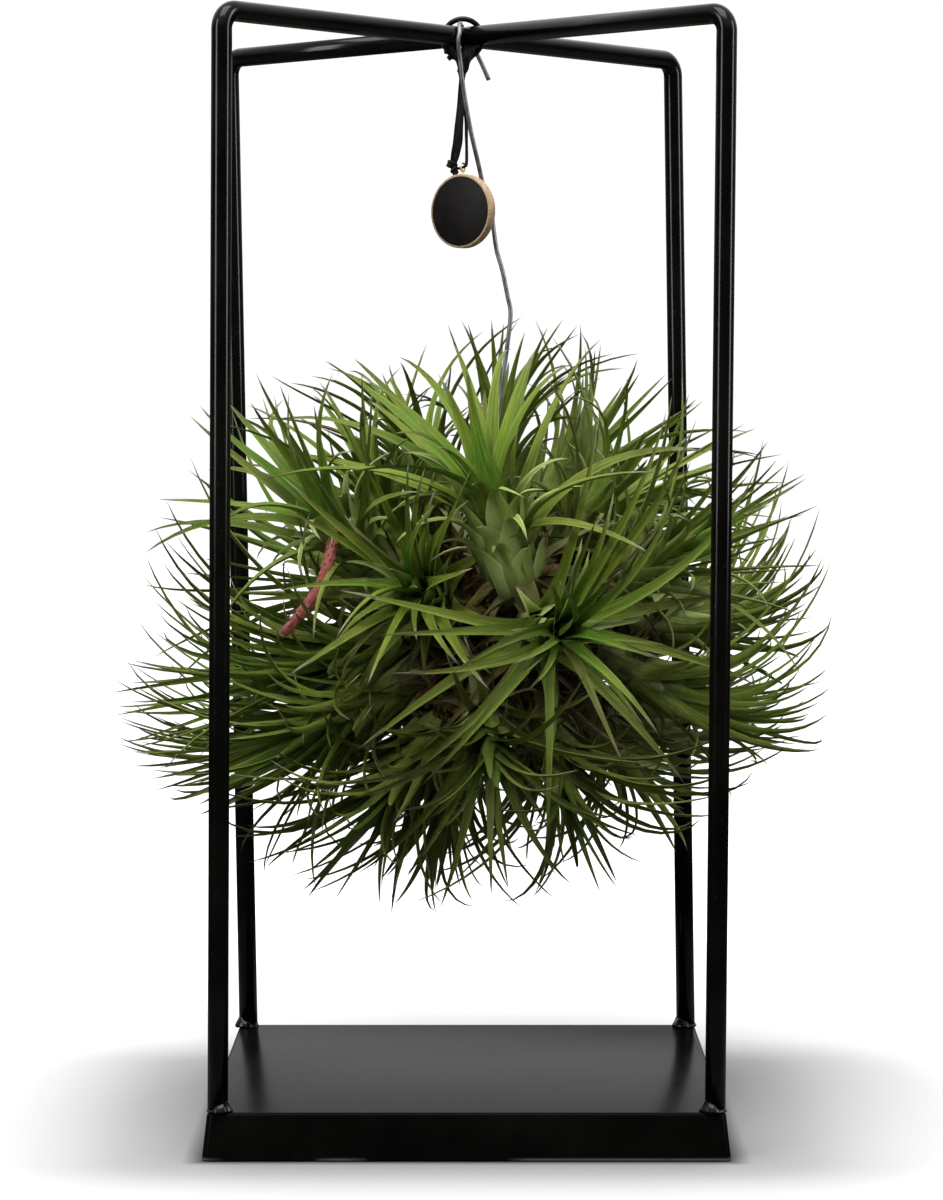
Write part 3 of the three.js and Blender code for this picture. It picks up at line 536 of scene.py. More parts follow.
def leaf_green():
    m = Finish("leaf_green", Specular_IOR_Level=0.18)
    names = ("along", "across", "age", "tone", "under", "dry", "silver")
    along, across, age, tone, under, dry, silver = (m.value(name) for name in names)
    seed = m.times(tone, 57.0)
    edge = m.math("ABSOLUTE", across)
    young = m.ramp(
        along,
        (0.0, (0.012, 0.11, 0.009)), (0.2, (0.016, 0.16, 0.01)), (0.42, (0.06, 0.26, 0.014)),
        (0.68, (0.14, 0.27, 0.02)), (0.88, (0.16, 0.21, 0.035)), (1.0, (0.22, 0.19, 0.13)),
    )
    grown = m.ramp(
        along,
        (0.0, (0.33, 0.38, 0.17)), (0.1, (0.24, 0.32, 0.07)), (0.3, (0.19, 0.28, 0.022)),
        (0.7, (0.17, 0.24, 0.02)), (0.9, (0.15, 0.16, 0.035)), (1.0, (0.22, 0.18, 0.12)),
    )
    old = m.ramp(
        along,
        (0.0, (0.27, 0.28, 0.13)), (0.12, (0.18, 0.2, 0.05)), (0.4, (0.13, 0.17, 0.018)),
        (0.85, (0.12, 0.12, 0.022)), (1.0, (0.14, 0.1, 0.07)),
    )
    green = m.blend(m.spread(age, 0.0, 0.45), young, grown)
    green = m.blend(m.spread(age, 0.5, 1.0), green, old)
    green = m.blend(m.spread(tone, 0, 1, 0.0, 0.45), green, (0.3, 0.32, 0.03))
    # Veins, brownish clouds, and painted shade that darkens the trough.
    streaks = m.node("CombineXYZ", {0: m.times(across, 2.6), 1: m.times(along, 2.2), 2: seed})[0]
    veins = m.noise(streaks, 2.0, 3.0)
    cloud = m.noise(m.node("Mapping", {"Vector": streaks, "Scale": (0.4, 2.4, 1.0)})[0], 1.6, 4.0)
    # Painted shade: darkest along the middle of the leaf's channel.
    painted_trough_shade = m.spread(edge, 0.0, 0.35, 1.0, 0.0)
    for cover, colour in (
        (m.spread(veins, 0.42, 0.62, 0.0, 0.5), (0.05, 0.09, 0.008)),
        (m.spread(veins, 0.5, 0.34, 0.0, 0.35), (0.34, 0.4, 0.08)),
        (m.spread(cloud, 0.48, 0.75, 0.0, 0.35), (0.2, 0.16, 0.03)),
        (m.times(painted_trough_shade, 0.32), (0.04, 0.08, 0.01)),
    ):
        green = m.blend(cover, green, colour)
    # The silvery scales are thickest below, on the sheaths and along the rims.
    silvered = m.times(silver, m.spread(age, 0.1, 0.5, 0.15, 1.0))
    amount = m.plus(m.times(under, 0.3), 0.1, silvered, m.times(m.spread(edge, 0.72, 1.0), 0.4))
    scales = m.scales(along, across, seed, amount)
    silvery = m.blend(tone, (0.56, 0.64, 0.27), (0.82, 0.9, 0.47))
    green = m.blend(scales["Frost"], green, silvery)
    green = m.blend(1.0, green, (0.86, 0.94, 0.7), mode="MULTIPLY")
    # The foot of a sheath is painted darker: painted shade from the one below.
    green = m.blend(1.0, green, m.spread(along, 0.035, 0.105, 0.3, 1.0), mode="MULTIPLY")
    # Many tips have dried to a pale point.
    faded = m.times(m.spread(along, 0.84, 0.95), m.spread(tone, 0.35, 0.6))
    green = m.blend(m.times(faded, 0.85), green, (0.36, 0.33, 0.25))
    husk = m.ramp(cloud, (0.3, (0.014, 0.007, 0.003)), (0.5, (0.07, 0.038, 0.016)), (0.72, (0.2, 0.13, 0.06)))
    husk = m.blend(m.spread(tone, 0.75, 1.0, 0.0, 0.7), husk, (0.42, 0.38, 0.22))
    colour = m.blend(dry, green, husk)
    raised = m.raised(0.6, 0.0005, m.plus(veins, m.times(scales["Height"], 0.4)))
    rough = m.plus(m.spread(cloud, 0.3, 0.7, 0.42, 0.56), m.times(under, 0.12))
    return m.feed(Base_Color=colour, Roughness=rough, Normal=raised)


def bark_brown():
    m = Finish("bark_brown", Specular_IOR_Level=0.2)
    place = m.place()
    cloud = m.mottle(place, 90.0)
    fibres = m.noise(place, 420.0, 5.0, Roughness=0.7)
    tone = m.blend(cloud, (0.016, 0.009, 0.005), (0.07, 0.042, 0.022))
    tone = m.blend(m.spread(fibres, 0.52, 0.8), tone, (0.16, 0.11, 0.06))
    rough = m.spread(cloud, 0, 1, 0.75, 0.92)
    return m.feed(Base_Color=tone, Roughness=rough, Normal=m.raised(0.8, 0.0006, fibres))


def flower_pink():
    m = Finish("flower_pink", Specular_IOR_Level=0.35, Sheen_Weight=0.15)
    along, across, tone = (m.value(name) for name in ("along", "across", "tone"))
    cloud = m.mottle(m.place(), 160.0)
    scales = m.scales(along, across, m.times(tone, 31.0), 0.45)
    pink = m.blend(cloud, (0.36, 0.055, 0.045), (0.5, 0.13, 0.1))
    pink = m.blend(m.spread(along, 0.7, 1.0, 0.0, 0.7), pink, (0.2, 0.05, 0.03))
    pink = m.blend(scales["Frost"], pink, (0.6, 0.34, 0.28))
    rough = m.spread(cloud, 0, 1, 0.5, 0.68)
    return m.feed(Base_Color=pink, Roughness=rough, Normal=m.raised(0.4, 0.0002, scales["Height"]))


rod_paint = painted("rod_paint", roughness=0.12, nibs=150.0, dust=0.04, bump=0.12, gloss=0.2)
tray_paint = painted(
    "tray_paint", roughness=0.17, nibs=60.0, dust=0.02, bump=0.05, gloss=0.015, worn_edge=True
)
leaf_finishes = [leaf_green(), bark_brown()]
pink_finish = flower_pink()
ribbon_finish = satin_ribbon()
drawn_wire = ((1, 1, 0.08), 2200.0, 2.0, 0.25)
wire_finish = clouded(
    "galvanised_wire", 120.0, (0.12, 0.125, 0.13), (0.3, 0.31, 0.325), (0.34, 0.52), drawn_wire, Metallic=0.85
)
pores = ((1, 1, 7), 500.0, 3.0, 0.3)
tag_black = clouded(
    "tag_black", 180.0, (0.004, 0.003, 0.0024), (0.009, 0.0066, 0.005), (0.42, 0.6), pores,
    Specular_IOR_Level=0.14,
)
brass = clouded("eye_brass", 300.0, (0.62, 0.5, 0.26), (0.85, 0.78, 0.55), (0.25, 0.42), Metallic=1.0)

# ---- Ribbon: a free loop with the tag on it ----
KNOT = EYE_CENTRE - TAG_ACROSS * 4.6
EYE_RIGHT = EYE_CENTRE + TAG_ACROSS * 1.6
# Centre, width, and the way that the ribbon's width runs there.
RIBBON_ROUTE = [
    ((-1.9, -2.5, 422.5), 1.9, (1, -0.4, 0)),
    ((-2.2, -2.8, 417.0), 2.4, (1, -0.3, 0)),
    ((-2.6, -3.0, 410.0), 3.0, (1, -0.15, 0)),
    ((-3.2, -3.0, 403.0), 3.6, (1, 0.1, 0)),
    ((-3.7, -2.8, 397.0), 4.0, (1, 0.2, 0)),
    ((-4.7, -2.0, 391.5), 3.6, (1, -0.1, 0)),
    (KNOT + UP * 1.2, 2.4, (1, -0.6, 0)),
    (KNOT + Vector((1.4, -1.0, -0.4)), 1.3, (0.3, 0.2, 1)),
    (EYE_CENTRE - UP * 0.1, 1.2, (0.1, 0.1, 1)),
    (EYE_RIGHT + UP * 0.9, 1.4, (0.7, -0.6, 0.5)),
    ((-0.1, -3.2, 393.0), 1.5, (0.8, -0.6, 0)),
    ((-0.2, -1.9, 402.0), 1.6, (0.8, -0.6, 0)),
    ((-0.9, -1.1, 412.0), 1.5, (0.8, -0.6, 0)),
    ((-1.6, -0.5, 422.5), 1.4, (0.8, -0.6, 0)),
]
# Routes of the hitch's folds, from the ring's lowest point, with their half width and half thickness.
HITCH_TURNS = [
    ([(-5.2, -2.2, 6.0), (-3.6, -3.3, 1.4), (-1.0, -3.0, -2.6), (0.2, -2.0, -6.0)], 2.5, 0.8),
    ([(4.8, -2.3, 5.4), (3.0, -3.2, 1.0), (0.9, -2.9, -2.4), (-0.9, -1.8, -6.0)], 2.8, 0.8),
    ([(1.6, -2.0, 6.2), (1.4, -3.0, 1.6), (0.4, -2.7, -2.4), (-0.4, -1.8, -6.0)], 2.6, 0.8),
    ([(-4.6, 2.4, 4.6), (-2.6, 3.0, 1.0), (-0.6, 2.6, -2.6), (-0.2, 0.8, -6.6)], 1.8, 0.7),
    ([(4.2, 2.5, 4.4), (2.4, 3.0, 0.8), (0.4, 2.5, -2.8), (-0.6, 0.6, -6.4)], 1.8, 0.7),
    ([(-3.4, -2.6, 0.6), (0.0, -3.9, -0.5), (3.2, -2.6, 0.4)], 2.2, 0.9),
    ([(0.1, -1.2, -3.0), (-0.3, -1.0, -6.0), (-0.4, -0.6, -9.4)], 1.7, 1.1),
]
HITCH_STEPS = 15
PLEAT_ROOT = Vector((-1, -1.8, -6.6)) + CROSSING
PLEAT_TIPS = [Vector(p) + CROSSING for p in ((-8.6, -2.6, -3.6), (-7.6, -2.4, -6.2), (-6.0, -2.6, -9.2))]
PLEAT_STEPS = 9


def weave_layers(body):
    return [body.verts.layers.float.new(name) for name in ("along", "across")]


def ribbon_loop():
    places = np.linspace(0, len(RIBBON_ROUTE) - 1, RIBBON_ROWS + 1)
    line = smooth_line([r[0] for r in RIBBON_ROUTE], places)
    widths = np.interp(places, range(len(RIBBON_ROUTE)), [r[1] for r in RIBBON_ROUTE])
    ways = smooth_line([r[2] for r in RIBBON_ROUTE], places)
    lengths = np.concatenate([[0], np.cumsum(np.linalg.norm(np.diff(line, axis=0), axis=1))])
    body = bmesh.new()
    bmesh.ops.create_grid(body, x_segments=8, y_segments=RIBBON_ROWS, size=1)
    bmesh.ops.solidify(body, geom=body.faces[:], thickness=-1)
    along_layer, across_layer = weave_layers(body)
    for vert in body.verts:
        row = int(round((vert.co.y + 1) / 2 * RIBBON_ROWS))
        across, low = vert.co.x, vert.co.z
        heading = line[min(row + 1, RIBBON_ROWS)] - line[max(row - 1, 0)]
        heading /= np.linalg.norm(heading)
        way = ways[row] - heading * (ways[row] @ heading)
        way /= np.linalg.norm(way)
        out = np.cross(heading, way)
        # A narrow place is where the ribbon gathers, so the cloth folds there instead of getting narrower.
        gather = 1 - min(1.0, widths[row] / RIBBON_WIDTH)
        fold = gather * 0.9 * sin(across * 5.3 + 0.7) + 0.12 * sin(lengths[row] * 0.55 + across)
        vert[along_layer] = lengths[row] * MM
        vert[across_layer] = across
        lift = fold + low * RIBBON_HALF_THICKNESS
        vert.co = Vector(line[row] + way * across * widths[row] / 2 + out * lift)
    for side, size in ((1, (2.1, 1.6, 1.7)), (-1, (1.5, 1.4, 2.1))):
        middle = KNOT + Vector((-0.5 * side - 0.3, 0.2, 1.3 * side + 0.3))
        for vert in bmesh.ops.create_icosphere(body, subdivisions=3, radius=1.0)["verts"]:
            d = vert.co.copy()
            swell = 1 + 0.16 * sin(5 * d.z + 3 * d.x * side) + 0.1 * sin(7 * d.y)
            vert[across_layer] = d.x
            vert[along_layer] = d.z * 0.002
            vert.co = middle + Vector([a * b for a, b in zip(d, size)]) * swell
    piece = finished("ribbon_loop", body, [ribbon_finish], "ribbon", "ribbon_black")
    return piece, [Vector(p) * MM for p in line], lengths[-1] * MM


ribbon_piece, ribbon_path, ribbon_length = ribbon_loop()


def ribbon_hitch():
    """The ribbon's cow hitch on the ring: crossed turns, a gathered neck and three pleats to the left."""
    body = bmesh.new()
    along_layer, across_layer = weave_layers(body)
    bottom = RING_CENTRE - UP * RING_RADIUS
    for number, (route, wide, thick) in enumerate(HITCH_TURNS):
        line = [bottom + p for p in whole_line(route, HITCH_STEPS)]
        start = len(body.verts)
        swells = [sin(pi * (0.2 + 0.65 * i / (HITCH_STEPS - 1))) for i in range(HITCH_STEPS)]
        drawn_rod(body, line, [wide * (0.55 + 0.45 * swell) for swell in swells], 14, squash=thick / wide)
        for vert in points_after(body, start):
            vert[along_layer] = vert.co.z * MM
            vert[across_layer] = sin(vert.co.x * 2.1 + number)
            vert.co += Vector(noise.noise_vector(vert.co * 0.55)) * 0.55
    for tip in PLEAT_TIPS:
        places = np.linspace(0, 1, PLEAT_STEPS)
        line = [PLEAT_ROOT.lerp(tip, t) + UP * sin(t * pi) * 0.5 for t in places]
        start = len(body.verts)
        drawn_rod(body, line, [1.5 - 0.45 * t for t in places], 10, squash=0.3)
        for vert in points_after(body, start):
            vert[along_layer] = vert.co.z * MM
            vert[across_layer] = sin(vert.co.x * 2.3)
    return finished("ribbon_hitch", body, [ribbon_finish], "ribbon", "ribbon_black")


ribbon_hitch()

# ---- Tag ----


def tag():
    body = bmesh.new()
    bmesh.ops.create_cone(
        body, cap_ends=True, segments=96, radius1=TAG_RADIUS, radius2=TAG_RADIUS, depth=TAG_THICKNESS
    )
    rounded(body, list({e for f in body.faces if len(f.verts) > 4 for e in f.edges}), 0.35, 3)
    # The disc still lies flat, and its upper face is painted but for a thin line of bare wood round it.
    face = max(body.faces, key=lambda f: f.calc_center_median().z)
    bmesh.ops.inset_region(body, faces=[face], thickness=0.55, depth=0.0)
    face.material_index = 1
    bmesh.ops.inset_region(body, faces=[face], thickness=0.12, depth=0.06)
    turn = UP.rotation_difference(TAG_FACING).to_matrix()
    middle = TAG_CENTRE - TAG_FACING * TAG_THICKNESS / 2
    for vert in body.verts:
        vert.co = middle + turn @ vert.co
    creased(body, 0.9)
    return finished("tag", body, [turned_wood(), tag_black], "tag_disc", "tag_wood")


def screw_eye():
    body = bmesh.new()
    closed_ring(body, EYE_RADIUS, EYE_STOCK, 36, 12)
    turn = Vector((0, 1, 0)).rotation_difference(TAG_ACROSS).to_matrix()
    for vert in body.verts:
        vert.co = EYE_CENTRE + turn @ vert.co
    foot = EYE_CENTRE - UP * (EYE_RADIUS + EYE_STOCK + 0.45)
    top = EYE_CENTRE - UP * (EYE_RADIUS - 0.1)
    # The thread: every other ring of the shank is thicker.
    shank = [foot.lerp(top, t) for t in np.linspace(0, 1, 13)]
    drawn_rod(body, shank, [EYE_STOCK + 0.06 + 0.07 * (i % 2) for i in range(len(shank))], 14)
    return finished("screw_eye", body, [brass], "tag_eye", "eye_brass")


tag_piece = tag()
eye_piece = screw_eye()
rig.cord(
    ribbon_piece,
    exit=ribbon_path[0],
    length=ribbon_length,
    diameter=RIBBON_WIDTH * MM,
    far_end="object",
    stiffness="limp",
    lay="hanging",
    path=ribbon_path,
    with_pieces=[tag_piece, eye_piece],
)

# ---- Tray ----


def tray():
    """One sheet folded down on four sides, open below, its corners closed and dressed round."""
    body = bmesh.new()
    bmesh.ops.create_cube(body, size=1.0)
    bmesh.ops.scale(body, vec=(TRAY_SIDE, TRAY_SIDE, TRAY_HEIGHT), verts=body.verts)
    bmesh.ops.translate(body, vec=(0, 0, TRAY_HEIGHT / 2), verts=body.verts)
    share = TRAY_FOOT_SIDE / TRAY_SIDE
    bmesh.ops.scale(body, vec=(share, share, 1), verts=[v for v in body.verts if v.co.z < 1])
    rounded(body, [e for e in body.edges if abs(e.verts[0].co.z - e.verts[1].co.z) > 1], TRAY_CORNER, 8)
    bottom = [f for f in body.faces if f.calc_center_median().z < 0.1]
    bmesh.ops.delete(body, geom=bottom, context="FACES_ONLY")
    top = max(body.faces, key=lambda f: f.calc_center_median().z)
    rounded(body, list(top.edges), TRAY_FOLD, 4)
    bmesh.ops.recalc_face_normals(body, faces=body.faces)
    bmesh.ops.solidify(body, geom=body.faces[:], thickness=SHEET)
    for vert in body.verts:
        vert.co.z = max(vert.co.z, 0)
    bmesh.ops.recalc_face_normals(body, faces=body.faces)
    creased(body, 0.7)
    return finished("tray", body, [tray_paint], "base_tray", "tray_black")


tray()

# ---- Rod hoops ----


def post_foot(sign_x, sign_y):
    return Vector((sign_x * POST_REACH, sign_y * POST_REACH, TRAY_HEIGHT))


def top_corner(sign_x, sign_y):
    corner = Vector((sign_x * POST_REACH, sign_y * POST_REACH, BAR_HEIGHT))
    return Matrix.Rotation(TOP_TWIST, 3, "Z") @ corner + TOP_SHIFT


def post_and_bar(sign_x, sign_y, bar_end):
    """The centre line of a rod from its foot up, round the bend and on to the bar's end."""
    foot, corner = post_foot(sign_x, sign_y), top_corner(sign_x, sign_y)
    down, along = (foot - corner).normalized(), (bar_end - corner).normalized()
    half = acos(down.dot(along)) / 2
    setback = BEND_RADIUS / tan(half)
    centre = corner + (down + along).normalized() * BEND_RADIUS / sin(half)
    start, end = corner + down * setback - centre, corner + along * setback - centre
    axis = start.cross(end).normalized()
    turns = np.linspace(0, 1, BEND_STEPS) * (pi - 2 * half)
    bend = [centre + Quaternion(axis, turn) @ start for turn in turns]
    post = [foot.lerp(bend[0], t) for t in np.linspace(0, 1, POST_STEPS + 1)[:-1]]
    return post + bend + [bar_end]


def weld_bead(body, centre, seed, heaviest):
    """A lumpy fillet of weld round a rod's foot, spun from its own profile and heaviest on one side."""
    start = len(body.verts)
    low = -0.1
    profile = ((1.3, low), (1.2, 0.5), (0.7, 1.3), (0.05, WELD_HEIGHT), (-1.0, WELD_HEIGHT))
    verts = [body.verts.new((ROD_RADIUS + x, 0, z)) for x, z in profile]
    edges = [body.edges.new(pair) for pair in zip(verts, verts[1:])]
    bmesh.ops.spin(
        body, geom=verts + edges, cent=(0, 0, 0), axis=(0, 0, 1), angle=2 * pi, steps=36, use_merge=True
    )
    made = points_after(body, start)
    for bound in (low, WELD_HEIGHT):
        loop = {e for v in made for e in v.link_edges if len(e.link_faces) == 1}
        loop = [e for e in loop if all(abs(v.co.z - bound) < 1e-4 for v in e.verts)]
        if loop:
            bmesh.ops.contextual_create(body, geom=loop)
    for vert in made:
        away = Vector((vert.co.x, vert.co.y, 0)).normalized()
        lump = noise.noise(Vector((away.x * 2.6, away.y * 2.6, seed))) + 0.2 * sin(vert.co.x * 3 + seed)
        heavy = max(0.0, away.dot(heaviest)) ** 0.7 + 0.4 * lump
        past = max(0.0, vert.co.xy.length - ROD_RADIUS)
        vert.co += away * past * (heavy * 1.1 - 0.6)
        if vert.co.z > 0:
            vert.co.z *= max(0.25, 0.4 + 1.1 * heavy)
        vert.co += centre
    bead = set(made)
    bmesh.ops.recalc_face_normals(body, faces=[f for f in body.faces if all(v in bead for v in f.verts)])


def hoop(name, node, line, feet):
    body = bmesh.new()
    drawn_rod(body, line, ROD_RADIUS, 32)
    for number, (sign_x, sign_y) in enumerate(feet):
        heaviest = Vector((-1 if sign_y > 0 else -sign_x, -0.45, 0)).normalized()
        weld_bead(body, post_foot(sign_x, sign_y) + UP * 0.1, 3.1 + number + sign_x * 2 + sign_y, heaviest)
    return finished(name, body, [rod_paint], node, "rod_black")


through = post_and_bar(-1, -1, CROSSING)
through += list(reversed(post_and_bar(1, 1, CROSSING)))[1:]
hoop("hoop_through", "hoop_main", through, [(-1, -1), (1, 1)])
for name, node, sign_x in (("hoop_front", "hoop_arm_front", 1), ("hoop_rear", "hoop_arm_rear", -1)):
    away = (top_corner(sign_x, -sign_x) - CROSSING).normalized()
    hoop(name, node, post_and_bar(sign_x, -sign_x, CROSSING + away * (ROD_RADIUS - 0.4)), [(sign_x, -sign_x)])


def ring():
    body = bmesh.new()
    closed_ring(body, RING_RADIUS, RING_STOCK, 64, 14)
    bmesh.ops.translate(body, vec=RING_CENTRE, verts=body.verts)
    return finished("ring", body, [rod_paint], "hanging_ring", "rod_black")


ring()

# ---- Hanging wire ----
HOOK_POINTS = [
    (10.6, 10.4, -16.4), (7.8, 11.2, -10), (5.6, 11.4, -5.6), (3, 10.9, -1.6), (1.2, 9.4, 1.6),
    (0.1, 6.6, 3.9), (-0.6, 3, 4.95), (-0.9, 0, 5.05), (-1.1, -3, 5.05), (-1.4, -6.3, 4.1),
    (-1.2, -8.9, 1.4), (-1.8, -9.7, -2.6),
]
LEG_POINTS = [
    (-2.7, -9.6, 430), (-1.6, -8.4, 420), (1.5, -5, 402), (4.8, 0.4, 388), (6.9, 4, 379), (9.9, 4, 369),
    (12.2, 3, 353.5), (14.4, 2, 345.7), (16.7, 2, 334.7), (17.8, 2, 329.4), (17.8, 2, 325),
    (17.3, 2, 320.5), (16.5, 2, 314), (15.2, 2, 304), (12.8, 2, 284), (9.4, 2, 243), (7.6, 2, 214),
    (6.6, 2, 190), (6.8, 2, 176), (8.6, 2, 171.6), (11.2, 2, 172.8), (12, 2, 177), (12, 2, 182),
]
wire_line = whole_line([Vector(p) + CROSSING for p in HOOK_POINTS] + LEG_POINTS, 205)


def wire():
    body = bmesh.new()
    drawn_rod(body, wire_line, WIRE_RADIUS, 14)
    return finished("wire", body, [wire_finish], "hanging_wire", "wire_grey")


wire()

# ---- Plant ----
HUB = Vector((6, 2, 198))
HUB_SIZE = (23.5, 19.5, 19.5)
# How far from the hub's middle the old leaves start, and how far before its end a stub is bent.
WITHERED_ROOT = 15
INNER_ROOT = 16
STUB_BEND = 16
STEM_RADIUS = 4.2
BLADE_WIDTH = 6.2
SHEATH_SHARE = 0.07
BLADE_STEPS = 12
GOLDEN_ANGLE = 2.399963
# The clump's reach: height, and the least and greatest x there.
OUTLINE = [
    (82, -36, 20), (95, -85, 80), (103, -94, 85), (116, -104, 94), (128, -115, 110), (141, -134, 129),
    (153, -143, 146), (162, -147, 148.5), (180, -144, 149), (198, -140, 149), (235, -132, 148.5),
    (246, -130, 146), (259, -122, 143), (270, -116, 135), (280, -114, 124), (290, -112, 100),
    (303, -96, 92), (313, -40, 74), (327, -6, 38),
]
DEPTH_REACH = 131
# The depth is full where the outline's half width is this or more.
FULL_HALF_WIDTH = 140
# No leaf passes both of these x and y, where the posts stand.
POST_CORNER = (80, 86)
# Foot, heart, length and number of the blades, how much they rise and spread, their breadth, and the share of
# the stem that is bare.
ROSETTES = [
    ((22, -42, 214), (9, -68, 256), 108, 18, -0.12, 0.84, 1.35, 0.4),
    ((26, -45, 201), (38, -80, 203), 104, 21, -0.05, 1.15, 1.2, 0.1),
    ((-30, -28, 216), (-55, -56, 249), 106, 20, 0.05, 0.8, 1.2, 0.25),
    ((-26, -20, 231), (-37, -28, 257), 78, 12, 0.1, 0.7, 1, 0.2),
    ((-9, 2, 243), (-20, 4, 274), 90, 14, 0.05, 0.6, 1, 0.1),
    ((12, 14, 249), (13, 18, 280), 88, 12, 0, 0.45, 1, 0.1),
    ((24, 24, 241), (47, 28, 264), 100, 19, 0.1, 0.45, 1.05, 0.1),
    ((44, 44, 223), (68, 64, 246), 84, 13, 0.1, 0.6, 1, 0.1),
    ((50, -18, 215), (78, -36, 229), 92, 16, 0.15, 0.55, 1.1, 0.15),
    ((70, 18, 201), (100, 30, 200), 108, 18, 0.75, 0.5, 1, 0.08),
    ((61, 4, 184), (89, 6, 170), 108, 18, 0.5, 0.45, 1, 0.08),
    ((56, 34, 167), (79, 58, 150), 98, 14, 0.2, 0.5, 1, 0.08),
    ((-24, -16, 199), (-54, -32, 190), 128, 22, 0.35, 0.42, 1.1, 0.08),
    ((-25, 2, 173), (-55, 0, 158), 130, 20, 0.4, 0.42, 1.1, 0.08),
    ((-24, 32, 210), (-60, 56, 222), 100, 14, 0.3, 0.6, 1, 0.08),
    ((-9, -18, 165), (-27, -40, 140), 104, 17, 0.1, 0.45, 1.1, 0.08),
    ((1, 6, 159), (-9, 0, 131), 92, 14, 0.1, 0.5, 1, 0.08),
    ((30, -14, 164), (38, -32, 140), 96, 15, 0.1, 0.55, 1.05, 0.08),
    ((48, 16, 166), (67, 26, 141), 90, 13, 0.2, 0.55, 1, 0.08),
    ((6, -36, 172), (10, -68, 152), 92, 13, 0, 0.65, 1.1, 0.08),
    ((-11, -36, 212), (-22, -70, 221), 84, 12, 0, 0.85, 1.1, 0.1),
    ((22, 50, 208), (14, 86, 234), 92, 12, 0.1, 0.7, 1, 0.08),
    ((-16, 50, 203), (-43, 88, 216), 92, 12, 0.15, 0.7, 1, 0.08),
    ((5, 56, 180), (0, 98, 170), 92, 12, 0.15, 0.7, 1, 0.08),
    ((50, 50, 191), (75, 86, 196), 92, 12, 0.2, 0.6, 1, 0.08),
    ((-18, 44, 173), (-44, 76, 153), 92, 12, 0.2, 0.6, 1, 0.08),
    ((29, 44, 164), (38, 74, 140), 90, 12, 0.2, 0.6, 1, 0.08),
    ((-26, -26, 181), (-55, -48, 164), 116, 17, 0.2, 0.4, 1.1, 0.08),
    ((34, 0, 227), (53, -14, 250), 94, 14, 0, 0.55, 1.1, 0.15),
]
PARTED_ROSETTE = 0
PARTING = 0.38
# The space before the parted rosette's sheaths, left free by other blades: least and greatest x, y, z.
CLEARING = ((3, -150, 213), (31, -50, 258))
WITHERED_BLADES = 11
STALK_POINTS = [
    (-50.45, -56.15, 242), (-52.5, -61.6, 236.2), (-54, -65, 229), (-57.5, -66.5, 219), (-64, -65, 209.5),
    (-71.5, -60, 201),
]
STALK_RADIUS = 1.9
BUD_ROSETTE = 3
EXTRA_SHARE = 2.0
# Rosettes that stay more open than the others, with their share of the added leaves, those whose young leaves
# are broader, those that are more silvery, and the low ones, partly dry and partly darkened as painted shade.
OPEN_ROSETTES = {0: 0.25, 1: 0.25, 2: 0.25, 7: 0.7}
BROAD_ROSETTES = (0, 2)
BROAD_SHARE = 1.3
SILVERY_ROSETTES = (6, 7, 8, 28)
SILVER_SHARE = 0.45
LOW_SHADED_ROSETTES = (15, 16, 17, 18, 19, 26)
DRY_AND_SHADE_SHARE = 0.2
# The numbers of dead leaves at a rosette's foot and of scales on its stem.
HUSKS = 7
PARTED_HUSKS = 26
SCALES = 8
BROAD_SCALES = 22
# How far the added leaves' centre lines stay from the posts' surface, the wire, the stalk, other leaves and
# the rims of the open places.
POST_ROOM = 3.2
WIRE_ROOM = 3.4
STALK_ROOM = 4.6
LEAF_ROOM = 1.5
VIEW_ROOM = 1.5
# The first points of a leaf lie among others at the stem, so they aren't tested.
NEAR_STEM = 3
CAD_TRIES = 64
ADDED_TRIES = 14
TIP_MATCH = 0.02
# Seeds that keep the kinds of leaves apart.
WITHERED_SEED = 900000
MORE_WITHERED_SEED = 450000
ADDED_SEED = 7000000
HUSK_SEED = 3300000
SCALE_SEED = 5100000
INNER_SEED = 6400000


def stream(seed):
    """Repeatable numbers between 0 and 1, the same ones that set out the CAD leaves."""
    state = seed & 0xFFFFFFFF

    def draw():
        nonlocal state
        state = (state + 0x6D2B79F5) & 0xFFFFFFFF
        t = state
        t = ((t ^ (t >> 15)) * (t | 1)) & 0xFFFFFFFF
        t ^= (t + (t ^ (t >> 7)) * (t | 61)) & 0xFFFFFFFF
        return ((t ^ (t >> 14)) & 0xFFFFFFFF) / 4294967296

    return draw


class Rosette:
    def __init__(self, number, foot, heart, blade, count, rise, spread, broad, bare):
        self.number, self.blade, self.count, self.rise, self.spread = number, blade, count, rise, spread
        self.broad, self.bare = broad, bare
        self.node = f"rosette_{number + 1:02d}"
        self.parted = number == PARTED_ROSETTE
        self.base = Vector(foot)
        self.axis = Vector(heart) - self.base
        self.stem = self.axis.length
        self.axis.normalize()
        self.side = self.axis.cross(UP).normalized()
        self.front = self.side.cross(self.axis)
        self.girth = SHEATH_SHARE * blade * broad

    def outward(self, angle):
        return self.side * cos(angle) + self.front * sin(angle)

    def heading(self, lean, turn):
        """The way that leans from the axis by the first angle, at the second one round it."""
        return self.axis * cos(lean) + self.outward(turn) * sin(lean)


rosettes = [Rosette(number, *row) for number, row in enumerate(ROSETTES)]


